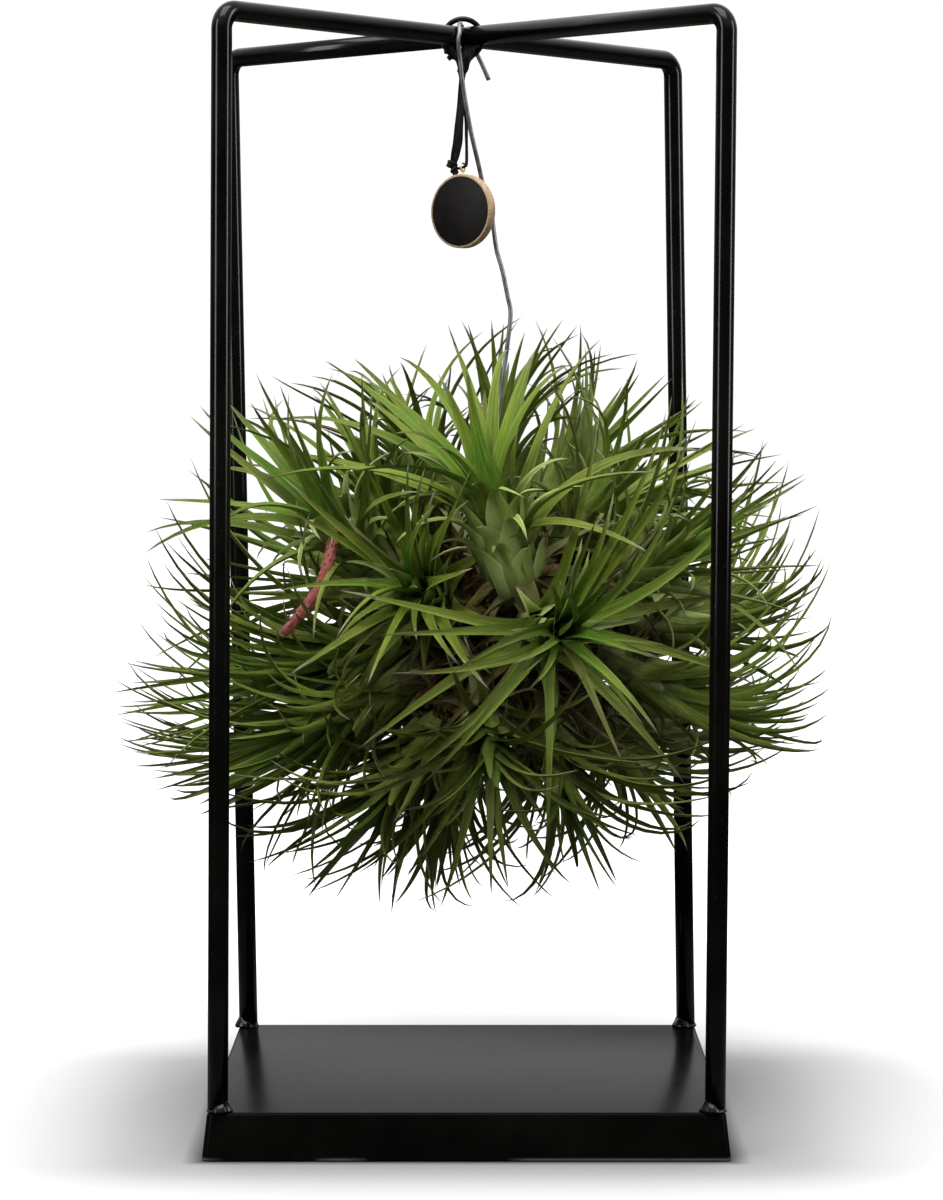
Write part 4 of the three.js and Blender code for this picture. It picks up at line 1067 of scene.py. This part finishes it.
class Leaf:
    """The centre line of a leaf, and what its shape and colour depend on. It is laid from its root by even
    steps, each the way that heading_at gives for its place from 0 to 1. A rosette's leaf grows out of the
    stem's side that out gives."""

    def __init__(self, root, length, heading_at, width, age, across=None, rosette=None, out=None):
        if rosette:
            across = rosette.axis.cross(out).normalized()
        points, acrosses = [], []
        point = root.copy()
        step = length / BLADE_STEPS
        for i in range(BLADE_STEPS + 1):
            heading = heading_at(i / BLADE_STEPS)
            across = (across - heading * across.dot(heading)).normalized()
            points.append(tuple(point))
            acrosses.append(tuple(across))
            point += heading * step
        self.points, self.acrosses = np.array(points), np.array(acrosses)
        self.width, self.age, self.out = width, age, out
        self.axis, self.girth = (rosette.axis, rosette.girth) if rosette else (None, 0.0)
        self.length = float(np.linalg.norm(np.diff(self.points, axis=0), axis=1).sum())
        self.tone = 0.5
        self.taper = 0.85
        self.twist = self.wander = self.sheath = self.silver = self.dry = self.dry_and_shade = 0.0


def blade_turn(rosette, turn, age):
    """The angle round the stem where a blade leaves it. The older blades of the parted rosette turn away from
    the front."""
    if not rosette.parted:
        return turn
    from_back = (turn + pi / 2) % (2 * pi) - pi
    return pi / 2 + from_back * (1 - PARTING * age)


def lay_blade(rosette, index, attempt, seed=0, shift=0.0, share=1.0, hook=0.0):
    random = stream((rosette.number * 64 + index) * 64 + attempt + seed)
    stray = min(1, attempt / 14)

    def vary(amount):
        return (random() * 2 - 1) * amount

    age = min(1.0, (index + shift + 0.5) / rosette.count)
    around = (index + shift) * GOLDEN_ANGLE + rosette.number + vary(0.15 + 0.9 * stray)
    turn = blade_turn(rosette, around, age)
    lean = rosette.spread * (0.1 + 0.8 * age) + vary(0.08 + 0.25 * stray)
    curl = (0.15 + 0.85 * rosette.spread) * (0.3 + 0.95 * age) + vary(0.25 + 0.5 * stray)
    sweep = vary(0.3 + 0.5 * stray)
    full = 0.62 + 0.38 * sin(pi * (0.12 + 0.75 * age))
    shrink = 1 - 0.5 * max(0, (attempt - 16) / 64)
    length = rosette.blade * full * shrink * (1 + vary(0.1)) * share
    width = BLADE_WIDTH * rosette.broad * (0.76 + 0.26 * age) * (1 + vary(0.12))
    out = rosette.outward(turn)
    root = rosette.base + rosette.axis * rosette.stem * (0.94 - (0.94 - rosette.bare) * age)
    root += out * rosette.girth * (0.2 + 0.4 * age)

    def heading_at(s):
        heading = rosette.heading(lean + curl * s + hook * s**3, turn + sweep * s)
        heading.z += rosette.rise * s * 1.4
        return heading.normalized()

    return Leaf(root, length, heading_at, width, age, rosette=rosette, out=out)


def bent_sideways(start, side, curl):
    """Headings that turn from one way to another, slowly at first."""
    return lambda s: start * cos(curl * s * s) + side * sin(curl * s * s)


def random_side(random, start):
    side = Vector((random() - 0.5, random() - 0.5, random() - 0.5))
    return (side - start * side.dot(start)).normalized()


def lay_withered(index, attempt, seed=0):
    random = stream(WITHERED_SEED + index * 64 + attempt + seed)
    turn = -pi / 2 + (random() * 2 - 1) * 1.9
    tilt = -0.1 - random() * 1.1
    start = Vector((cos(turn), sin(turn), 0)) * cos(tilt) + UP * sin(tilt)
    side = random_side(random, start)
    curl = 1.4 * (1.6 + random() * 1.6)
    length = 42 + random() * 34
    root = HUB + start * WITHERED_ROOT
    leaf = Leaf(root, length, bent_sideways(start, side, curl), 4.0, 1.0, start.cross(side))
    leaf.dry = 1.0
    return leaf


def corners_of(node):
    """A lookup of a CAD node's points, in millimetres."""
    vertices = frame["nodes"][node].data.vertices
    tree = kdtree.KDTree(len(vertices))
    for vertex in vertices:
        tree.insert(vertex.co / MM, vertex.index)
    tree.balance()
    return tree


def leaves_of(node, count, lay):
    """The CAD node's leaves. Each is the first try of the rule whose tip is one of the node's points."""
    tree = corners_of(node)
    for index in range(count):
        tries = (lay(index, attempt) for attempt in range(CAD_TRIES))
        leaf = next((leaf for leaf in tries if tree.find(leaf.points[-1])[2] < TIP_MATCH), None)
        if leaf:
            yield leaf


def within_reach(point):
    x, y, z = point
    above = next((i for i, row in enumerate(OUTLINE) if row[0] > z), 0)
    if above < 1:
        return False
    low, high = OUTLINE[above - 1], OUTLINE[above]
    share = (z - low[0]) / (high[0] - low[0])
    left, right = (low[i] + share * (high[i] - low[i]) for i in (1, 2))
    middle, half = (left + right) / 2, (right - left) / 2
    across = abs(x - middle) / half
    deep = abs(y) / (DEPTH_REACH * min(1, half / FULL_HALF_WIDTH))
    return across**3 + deep**3 <= 1 and not (abs(x) > POST_CORNER[0] and abs(y) > POST_CORNER[1])


def gap_to_line(points, a, b):
    """Distance of each point from a straight piece."""
    a, b = np.array(a), np.array(b)
    d = b - a
    t = np.clip(((points - a) @ d) / (d @ d), 0, 1)[:, None]
    return np.linalg.norm(points - a - t * d, axis=1)


POSTS = [(post_foot(x, y), top_corner(x, y)) for x in (-1, 1) for y in (-1, 1)]
stalk_line = whole_line(STALK_POINTS, 46)
CLEAR_LINES = [(np.array(wire_line), WIRE_ROOM), (np.array(stalk_line), STALK_ROOM)]
leaf_cloud = np.zeros((0, 3))
# Seen from EYE, where the camera is, one looks through the clump here: x, z and radius on the plane y = 0.
OPEN_PLACES = [
    (61, 294, 7), (72, 290, 9), (79, 281, 6), (77, 264, 6), (66, 277, 4), (-84, 257, 6), (-76, 257, 5),
    (-81, 229, 5), (-73, 234, 4), (-85, 271, 5), (-83, 210, 4), (-15, 283, 4), (-25, 300, 3), (-54, 277, 4),
    (-79, 240, 4), (-66, 279, 3),
]
EYE = np.array([1.95, -1474.8, 289.3])


def stops_the_view(points):
    seen = EYE + (points - EYE) * (-EYE[1] / (points[:, 1:2] - EYE[1]))
    return any(
        (np.hypot(seen[:, 0] - x, seen[:, 2] - z) < radius + VIEW_ROOM).any() for x, z, radius in OPEN_PLACES
    )


def has_room(leaf, clearance, parted=False):
    tested = leaf.points[NEAR_STEM:]
    if stops_the_view((tested[1:] + tested[:-1]) / 2) or stops_the_view(tested):
        return False
    if not parted and ((leaf.points > CLEARING[0]) & (leaf.points < CLEARING[1])).all(axis=1).any():
        return False
    if not all(within_reach(p) for p in tested[2:]):
        return False
    if any(gap_to_line(tested, a, b).min() < ROD_RADIUS + POST_ROOM for a, b in POSTS):
        return False
    if any(np.linalg.norm(tested[:, None] - line[None], axis=2).min() < need for line, need in CLEAR_LINES):
        return False
    return np.linalg.norm(leaf_cloud[None] - tested[2:, None], axis=2).min() > clearance


def keep(leaf, kept):
    global leaf_cloud
    points = leaf.points[NEAR_STEM:]
    middles = (points + leaf.points[NEAR_STEM - 1 : -1]) / 2
    leaf_cloud = np.vstack([leaf_cloud, points, middles])
    kept.append(leaf)


leaves = [[] for _ in rosettes]
core_leaves = []
for rosette, kept in zip(rosettes, leaves):
    for leaf in leaves_of(rosette.node, rosette.count, lambda *which: lay_blade(rosette, *which)):
        keep(leaf, kept)
for leaf in leaves_of("stem_core", WITHERED_BLADES, lay_withered):
    keep(leaf, core_leaves)

# More leaves between the ones that the CAD holds, laid by the same rule. Most are shorter, so that they fill
# the inside of the clump and leave its rim loose.
choice = stream(97)
most = max(r.count for r in rosettes)
for index in range(int(most * EXTRA_SHARE) + 1):
    for rosette, kept in zip(rosettes, leaves):
        share = 0.5 + 0.42 * choice() ** 1.4
        hook = (choice() - 0.25) * 2.2
        if index >= rosette.count * EXTRA_SHARE * OPEN_ROSETTES.get(rosette.number, 1):
            continue
        for attempt in range(ADDED_TRIES):
            shift = index / EXTRA_SHARE - index + 0.5
            leaf = lay_blade(rosette, index, attempt, seed=ADDED_SEED, shift=shift, share=share, hook=hook)
            if has_room(leaf, LEAF_ROOM, rosette.parted):
                keep(leaf, kept)
                break

# ---- Leaf stock: one flat closed blank that every leaf is bent from ----
LEAF_ROWS = 17
LEAF_COLUMNS = 2
SHEATH_ROWS = 4
# How far up a leaf its sheath still hugs the stem.
SHEATH_REACH = 13


def leaf_blank():
    """A long flat lens: an upper and a lower skin that meet at the two rims, the root and the tip."""
    body = bmesh.new()
    bmesh.ops.create_grid(body, x_segments=LEAF_COLUMNS, y_segments=LEAF_ROWS, size=1)
    bmesh.ops.solidify(body, geom=body.faces[:], thickness=-1)
    for vert in body.verts:
        if abs(abs(vert.co.x) - 1) < 1e-4 and abs(vert.co.z) > 0.5:
            vert.co.z = 0
    tip = [v for v in body.verts if v.co.y > 0.999]
    bmesh.ops.pointmerge(body, verts=tip, merge_co=(0, 1, 0))
    bmesh.ops.remove_doubles(body, verts=body.verts, dist=1e-4)
    bmesh.ops.recalc_face_normals(body, faces=body.faces)
    for edge in body.edges:
        if all(abs(v.co.x) > 0.99 for v in edge.verts) or all(v.co.y < -0.99 for v in edge.verts):
            edge.smooth = False
    smoothed(body)
    return mesh_of("leaf_blank", body)


blank = leaf_blank()
blank_places = np.array([tuple(v.co) for v in blank.vertices])
blank_row = np.rint((blank_places[:, 1] + 1) / 2 * LEAF_ROWS).astype(int)
blank_across = blank_places[:, 0]
blank_low = (np.abs(blank_places[:, 2]) > 0.5).astype(float)
# The first rows are the sheath, below the place where the blade leaves the stem.
row_numbers = np.arange(LEAF_ROWS + 1)
blade_place = np.clip((row_numbers - SHEATH_ROWS) / (LEAF_ROWS - SHEATH_ROWS), 0, 1) ** 1.15
sheath_place = np.clip((SHEATH_ROWS - row_numbers) / SHEATH_ROWS, 0, 1)
row_place = blade_place * 0.9 + (1 - sheath_place) * 0.1
row_silver = 0.75 * sheath_place + 0.6 * np.exp(-((blade_place / 0.14) ** 2))


def unit(vectors):
    return vectors / np.maximum(np.linalg.norm(vectors, axis=1, keepdims=True), 1e-9)


def bent_leaf(leaf):
    """The blank's points bent to a channelled leaf with a broad clasping sheath."""
    s, below = blade_place, sheath_place
    line = smooth_line(leaf.points, s * BLADE_STEPS)
    across = smooth_line(leaf.acrosses, s * BLADE_STEPS)
    width = leaf.width * (1 - s) ** leaf.taper + 0.25
    fold = 0.62 + 0.5 * s**2
    if leaf.out is None:
        line = line - unit(line[SHEATH_ROWS + 1 :][:1] - line[:1]) * (below * 3.0)[:, None]
    else:
        near = np.exp(-((s * leaf.length / SHEATH_REACH) ** 2))
        off = leaf.girth * (0.08 + 0.38 * leaf.age)
        line = line + np.array(leaf.out) * (off * near * (1 - 0.45 * below**2))[:, None]
        line = line - np.array(leaf.axis) * (leaf.sheath * below)[:, None]
        width = width * (1 + (0.75 + 0.65 * leaf.age) * near * (1 - 0.3 * below**2))
        fold = fold + 0.6 * near
    heading = unit(np.gradient(line, axis=0))
    across = unit(across - heading * np.sum(across * heading, axis=1, keepdims=True))
    above = np.cross(heading, across)
    # A slight wander of the blade, and its twist.
    wave = 3 * leaf.wander * np.sin(3.5 * s + 6 * leaf.tone) * s * (1 - s)
    line = line + across * wave[:, None]
    turned = leaf.twist * s**1.5
    cosine, sine = np.cos(turned)[:, None], np.sin(turned)[:, None]
    across, above = across * cosine + above * sine, above * cosine - across * sine
    r = blank_row
    theta = blank_across * fold[r]
    arc = width[r] / 2 / fold[r]
    thick = (0.9 - 0.4 * leaf.dry) * (1 - blank_across**2) * (0.3 + 0.7 * (1 - s[r])) * blank_low
    x = (arc + thick) * np.sin(theta)
    z = arc * (1 - np.cos(theta)) - thick * np.cos(theta)
    return line[r] + across[r] * x[:, None] + above[r] * z[:, None]


# The values that the leaf finish reads, as they are on the stems.
STEM_VALUES = {
    "along": 0.02, "across": 0.0, "age": 0.9, "tone": 0.4, "under": 0.6, "dry": 0.35, "silver": 0.5
}


def leafy_piece(name, body, found, materials, node, slot):
    """Adds the bent leaves to a bmesh in millimetres, with the values that the leaf finish reads."""
    own = len(body.verts)
    for _ in found:
        body.from_mesh(blank)
    mesh = mesh_of(name, body)
    places = np.empty(len(mesh.vertices) * 3)
    mesh.vertices.foreach_get("co", places)
    places = places.reshape(-1, 3)
    values = {key: np.full(len(places), start) for key, start in STEM_VALUES.items()}
    for number, leaf in enumerate(found):
        span = slice(own + number * len(blank_places), own + (number + 1) * len(blank_places))
        places[span] = bent_leaf(leaf)
        # The dead leaves' colour also darkens the low rosettes, partly as dryness and partly as painted shade.
        given = (
            row_place[blank_row], blank_across, leaf.age, leaf.tone, blank_low, max(leaf.dry, leaf.dry_and_shade),
            leaf.silver + row_silver[blank_row],
        )
        for key, value in zip(STEM_VALUES, given):
            values[key][span] = value
    # The finest tips end where the CAD does.
    places = np.clip(places * MM, cad_box[0], cad_box[1])
    mesh.vertices.foreach_set("co", places.ravel())
    for key, numbers in values.items():
        layer = mesh.attributes.new(key, "FLOAT", "POINT")
        layer.data.foreach_set("value", numbers.astype(np.float32))
    mesh.update()
    return placed(name, mesh, materials, node, slot)


def husk_leaf(rosette, index):
    """A dead leaf at the foot of a rosette: short, narrow and curled back."""
    random = stream(HUSK_SEED + rosette.number * 97 + index * 7919)
    turn = random() * 2 * pi
    out = rosette.outward(turn)
    lean = 0.9 + random() * 1.5
    curl = (random() - 0.2) * 2.6 * (1 + rosette.parted)
    length = 26 + random() * 40
    root = rosette.base + rosette.axis * rosette.stem * (0.02 + 0.2 * random()) + out * rosette.girth * 0.55
    sweep = (random() - 0.5) * 2.4

    def heading_at(s):
        heading = rosette.heading(lean + curl * s * s, turn + sweep * s * s)
        heading.z -= 0.7 * s
        return heading.normalized()

    leaf = Leaf(root, length, heading_at, 2.2 + random() * 2.2, 1.0, rosette=rosette, out=out)
    leaf.girth *= 0.8
    leaf.dry = 0.55 + 0.45 * random()
    leaf.tone = random()
    leaf.twist = (random() - 0.5) * 4
    return leaf


def scale_leaf(rosette, index, number):
    """A leaf low on a rosette: a tall broad sheath round the stem and a short blade that arches away. Some
    are only a tongue."""
    random = stream(SCALE_SEED + rosette.number * 131 + index * 977)
    height = 0.26 + 0.6 * (index + 0.5) / number
    turn = index * GOLDEN_ANGLE + rosette.number * 2 + random() * 0.3
    out = rosette.outward(turn)
    tongue = random() < 0.3
    length = rosette.girth * (1.1 if tongue else 2.2 + 3.2 * random())
    curl = 0.5 if tongue else 1.3 + 1.1 * random()
    sweep = (random() - 0.5) * (0.3 if tongue else 1.4)
    away = rosette.girth * (0.74 - 0.3 * height + 0.14 * random())
    root = rosette.base + rosette.axis * rosette.stem * height + out * away
    wide = rosette.girth * (0.72 if tongue else 0.6)

    def heading_at(s):
        return rosette.heading(0.3 + curl * s**1.3, turn + sweep * s * s)

    leaf = Leaf(root, length, heading_at, wide, 1.15 - 0.5 * height, rosette=rosette, out=out)
    leaf.sheath = min(24.0, 0.9 * height * rosette.stem)
    leaf.silver, leaf.taper = (1.3, 0.5) if tongue else (0.95, 0.85)
    leaf.tone = random()
    leaf.twist = (random() - 0.5) * 0.5
    return leaf


def stem_column(body, rosette):
    """The short stem under the sheaths."""
    profile = [(-0.02, 0.55), (0.1, 0.85), (0.3, 0.9), (0.6, 0.72), (0.85, 0.42), (1.0, 0.12)]
    line = [rosette.base + rosette.axis * rosette.stem * along for along, _ in profile]
    drawn_rod(body, line, [share * rosette.girth for _, share in profile], 16)
    smoothed(body, material_index=1)


for rosette, found in zip(rosettes, leaves):
    body = bmesh.new()
    stem_column(body, rosette)
    random = stream(41 + rosette.number)
    for leaf in found:
        if rosette.number in BROAD_ROSETTES and leaf.age < 0.3:
            leaf.width *= BROAD_SHARE
        leaf.tone = random()
        leaf.twist = (random() - 0.5) * 0.9
        leaf.dry = 0.0 if random() > 0.05 * leaf.age else 0.6
        leaf.wander = 2.2 * (random() - 0.5)
        leaf.sheath = min(20.0, 0.42 * rosette.stem)
        leaf.silver = SILVER_SHARE if rosette.number in SILVERY_ROSETTES else 0.0
        # The low rosettes take part of the dead leaves' colour: some dryness, some painted shade.
        leaf.dry_and_shade = DRY_AND_SHADE_SHARE if rosette.number in LOW_SHADED_ROSETTES else 0.0
    husks = [husk_leaf(rosette, index) for index in range(PARTED_HUSKS if rosette.parted else HUSKS)]
    husks = [leaf for leaf in husks if has_room(leaf, 0.0, rosette.parted)]
    scale_count = BROAD_SCALES if rosette.number in BROAD_ROSETTES else SCALES
    scales = [scale_leaf(rosette, index, scale_count) for index in range(scale_count)]
    name = rosette.node.replace("rosette", "leaves")
    leafy_piece(name, body, found + husks + scales, leaf_finishes, rosette.node, "leaf_green")

# ---- Woody centre ----
INNER_LEAVES = 240
MORE_WITHERED = 60


def inner_leaf(index):
    """An old leaf left inside the clump, at any side of the hub."""
    random = stream(INNER_SEED + index * 53)
    tilt = -0.9 + 2.1 * (index + 0.5) / INNER_LEAVES
    turn = index * GOLDEN_ANGLE
    start = Vector((cos(turn) * cos(tilt), sin(turn) * cos(tilt), sin(tilt)))
    side = random_side(random, start)
    headings = bent_sideways(start, side, 0.8 + 1.8 * random())
    length = 34 + random() * 40
    return Leaf(HUB + start * INNER_ROOT, length, headings, 3.6 + 3.2 * random(), 1.0, start.cross(side))


def woody_centre():
    body = bmesh.new()
    for vert in bmesh.ops.create_icosphere(body, subdivisions=5, radius=1.0)["verts"]:
        d = vert.co.copy()
        swell = 1 + 0.14 * noise.noise(d * 2.3) + 0.08 * noise.noise(d * 7.0)
        vert.co = HUB + Vector([a * b for a, b in zip(d, HUB_SIZE)]) * swell
    for rosette in rosettes:
        end = rosette.base - rosette.axis * GAP
        bend = rosette.base - rosette.axis * STUB_BEND
        places = np.linspace(0, 1, 13)
        line = [HUB * (1 - t) ** 2 + bend * 2 * t * (1 - t) + end * t * t for t in places]
        lumps = [noise.noise(Vector((rosette.number * 3.7, t * 6, 0))) for t in places]
        drawn_rod(body, line, [STEM_RADIUS * (0.86 + 0.2 * lump) for lump in lumps], 12)
    smoothed(body, material_index=1)
    more = [lay_withered(index, index % 5, seed=MORE_WITHERED_SEED) for index in range(MORE_WITHERED)]
    more += [inner_leaf(index) for index in range(INNER_LEAVES)]
    found = core_leaves + [leaf for leaf in more if has_room(leaf, 0.0)]
    random = stream(777)
    for leaf in found:
        leaf.tone = random() * 0.7
        leaf.twist = (random() - 0.5) * 3
        leaf.dry = 0.75 + 0.25 * random()
    return leafy_piece("woody_centre", body, found, leaf_finishes, "stem_core", "stem_brown")


woody_centre()

# ---- Flower stalk and bud ----


def bract(root, heading, out, length, width, curl):
    """A small leaf that hugs a stalk and lifts at its tip."""

    def heading_at(s):
        angle = 0.12 + curl * s
        return (heading * cos(angle) + out * sin(angle)).normalized()

    return Leaf(root, length, heading_at, width, 0.2, heading.cross(out).normalized())


def old_stalk():
    body = bmesh.new()
    radii = [STALK_RADIUS * (0.95 + 0.1 * sin(i * 0.9)) for i in range(len(stalk_line))]
    drawn_rod(body, stalk_line, radii, 16)
    smoothed(body)
    bracts = []
    for i in range(3, 2 * len(stalk_line) - 8):
        heading = (stalk_line[i // 2 + 1] - stalk_line[i // 2]).normalized()
        out = Quaternion(heading, i * GOLDEN_ANGLE) @ heading.orthogonal().normalized()
        bracts.append(bract(stalk_line[i // 2] + out * STALK_RADIUS * 0.8, heading, out, 3.3, 2.2, 0.55))
    heading = (stalk_line[-1] - stalk_line[-3]).normalized()
    for number in range(5):
        out = Quaternion(heading, number * 2 * pi / 5) @ heading.orthogonal().normalized()
        bracts.append(bract(stalk_line[-3] + out * STALK_RADIUS * 0.4, heading, out, 5.0, 2.6, 0.2))
    return leafy_piece("old_stalk", body, bracts, [pink_finish], "flower_stalk", "flower_pink")


def pink_bud():
    seat = rosettes[BUD_ROSETTE]
    foot = seat.base + seat.axis * (seat.stem + 1.4)
    body = bmesh.new()
    drawn_rod(body, [foot + seat.axis * t for t in (0, 1.5, 3.5, 6.0, 8.0)], [1.1, 1.6, 1.7, 1.1, 0.3], 14)
    smoothed(body)
    bracts = []
    for number in range(9):
        out = seat.outward(number * GOLDEN_ANGLE)
        root = foot + seat.axis * (0.2 + number * 0.35) + out * 1.2
        bracts.append(bract(root, seat.axis, out, 8.4 - number * 0.25, 4.2, -0.3))
    return leafy_piece("pink_bud", body, bracts, [pink_finish], "flower_bud", "flower_pink")


old_stalk()
pink_bud()
bpy.data.meshes.remove(blank)

# ---- Floor and light ----
FLOOR_RADIUS = 6.0
FLOOR_DROP = 0.0006


def floor_white():
    """Plain white, but its far part glows, painted light that grows away from the stand, so it is white away from the
    stand. The soft shadow round the tray's foot, closer in front than at the sides, is a painted shadow in this
    finish."""
    m = Finish("floor_white", Roughness=0.9, Specular_IOR_Level=0.1, Emission_Strength=1.0)
    place = m.place()
    distance = m.node("VectorMath", {0: place}, operation="LENGTH")["Value"]
    # Painted light: the floor glows more the further it is from the stand.
    glow = m.blend(m.spread(distance, 0.2, 0.5, 0.0, 0.6), (0, 0, 0), (1, 1, 1))
    axes = m.node("SeparateXYZ", {0: place})
    half = TRAY_FOOT_SIDE / 2 * MM
    past = [m.math("MAXIMUM", m.math("SUBTRACT", m.math("ABSOLUTE", axes[axis]), half)) for axis in "XY"]
    squares = m.plus(m.math("POWER", past[0], 2.0), m.math("POWER", m.times(past[1], 1.4), 2.0))
    # Painted shadow in the floor's colour, darkest at the tray's foot.
    shade = m.ramp(
        m.times(m.math("SQRT", squares), 10.0),
        (0.0, 0.12), (0.08, 0.46), (0.3, 0.54), (0.53, 0.7), (0.72, 0.8), (1.0, 0.9),
    )
    white = m.blend(m.mottle(place, 3.0), (0.86, 0.86, 0.86), (0.88, 0.88, 0.88))
    return m.feed(Base_Color=m.blend(1.0, white, shade, mode="MULTIPLY"), Emission_Color=glow)


def floor():
    body = bmesh.new()
    bmesh.ops.create_circle(body, cap_ends=True, segments=96, radius=FLOOR_RADIUS)
    bmesh.ops.translate(body, vec=(0, 0, -FLOOR_DROP), verts=body.verts)
    mesh = mesh_of("floor", body)
    mesh.materials.append(floor_white())
    plain = bpy.data.objects.new("floor", mesh)
    scene.collection.objects.link(plain)
    plain.visible_diffuse = plain.visible_glossy = False
    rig.stage(plain)


floor()


def lamp(name, kind, place, aim, power, **settings):
    data = bpy.data.lights.new(name, kind)
    data.energy = power
    for key, value in settings.items():
        setattr(data, key, value)
    light = bpy.data.objects.new(name, data)
    light.location = place
    light.rotation_euler = (Vector(aim) - Vector(place)).to_track_quat("-Z", "Y").to_euler()
    scene.collection.objects.link(light)
    return light


def soft_box(name, place, aim, size, power):
    return lamp(name, "AREA", place, aim, power, shape="RECTANGLE", size=size[0], size_y=size[1])


soft_box("overhead", (-0.1, -0.5, 1.45), (0, 0, 0.2), (0.9, 0.9), 17)
# The strips at the sides only draw highlights on the rods.
for strip in (
    soft_box("left_strip", (-1.2, -0.9, 0.75), (0, 0, 0.5), (0.36, 1.1), 12),
    soft_box("right_strip", (1.42, -0.42, 0.75), (0, 0, 0.5), (0.34, 1.1), 12),
):
    strip.visible_diffuse = False
# A lamp with a long hood, for the sheaths that the blades above keep dark.
hood = {"spot_size": 0.11, "spot_blend": 1.0, "shadow_soft_size": 0.08}
heart_light = lamp("heart_light", "SPOT", (-0.4, -1.2, 0.72), (0.015, -0.055, 0.232), 60, **hood)
heart_light.visible_glossy = False

# The studio: a white wall behind, a bright ceiling, darkness in front and below.
world = bpy.data.worlds.new("studio")
world.use_nodes = True
scene.world = world
n = Nodes(world.node_tree)
way = n.node("SeparateXYZ", {0: n.node("TexCoord", {})["Generated"]})
wall = n.spread(way["Y"], 0.1, 0.8)
behind = n.times(wall, n.spread(way["Z"], 0.02, 0.14, 0.06, 0.75))
ceiling = n.spread(way["Z"], 0.14, 0.6, 0.0, 0.8)
above = n.spread(way["Z"], -0.12, 0.02, 0.0, 1.0)
bounce = n.spread(way["Z"], -0.1, -0.4, 0.0, 0.16)
room = n.plus(n.times(n.plus(behind, ceiling, 0.05), above), bounce)
seen = n.times(n.node("LightPath", {})["Is Camera Ray"], 1.05)
ground = n.tree.nodes["Background"].inputs
n.tree.links.new(n.math("MAXIMUM", seen, room), ground["Strength"])
ground["Color"].default_value = (1, 1, 1, 1)
scene.view_settings.view_transform = "Standard"

with open("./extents.json", "w") as file:
    json.dump({"cad": [list(c) for c in cad_box], "visual": [list(c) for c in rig.bounds()]}, file)
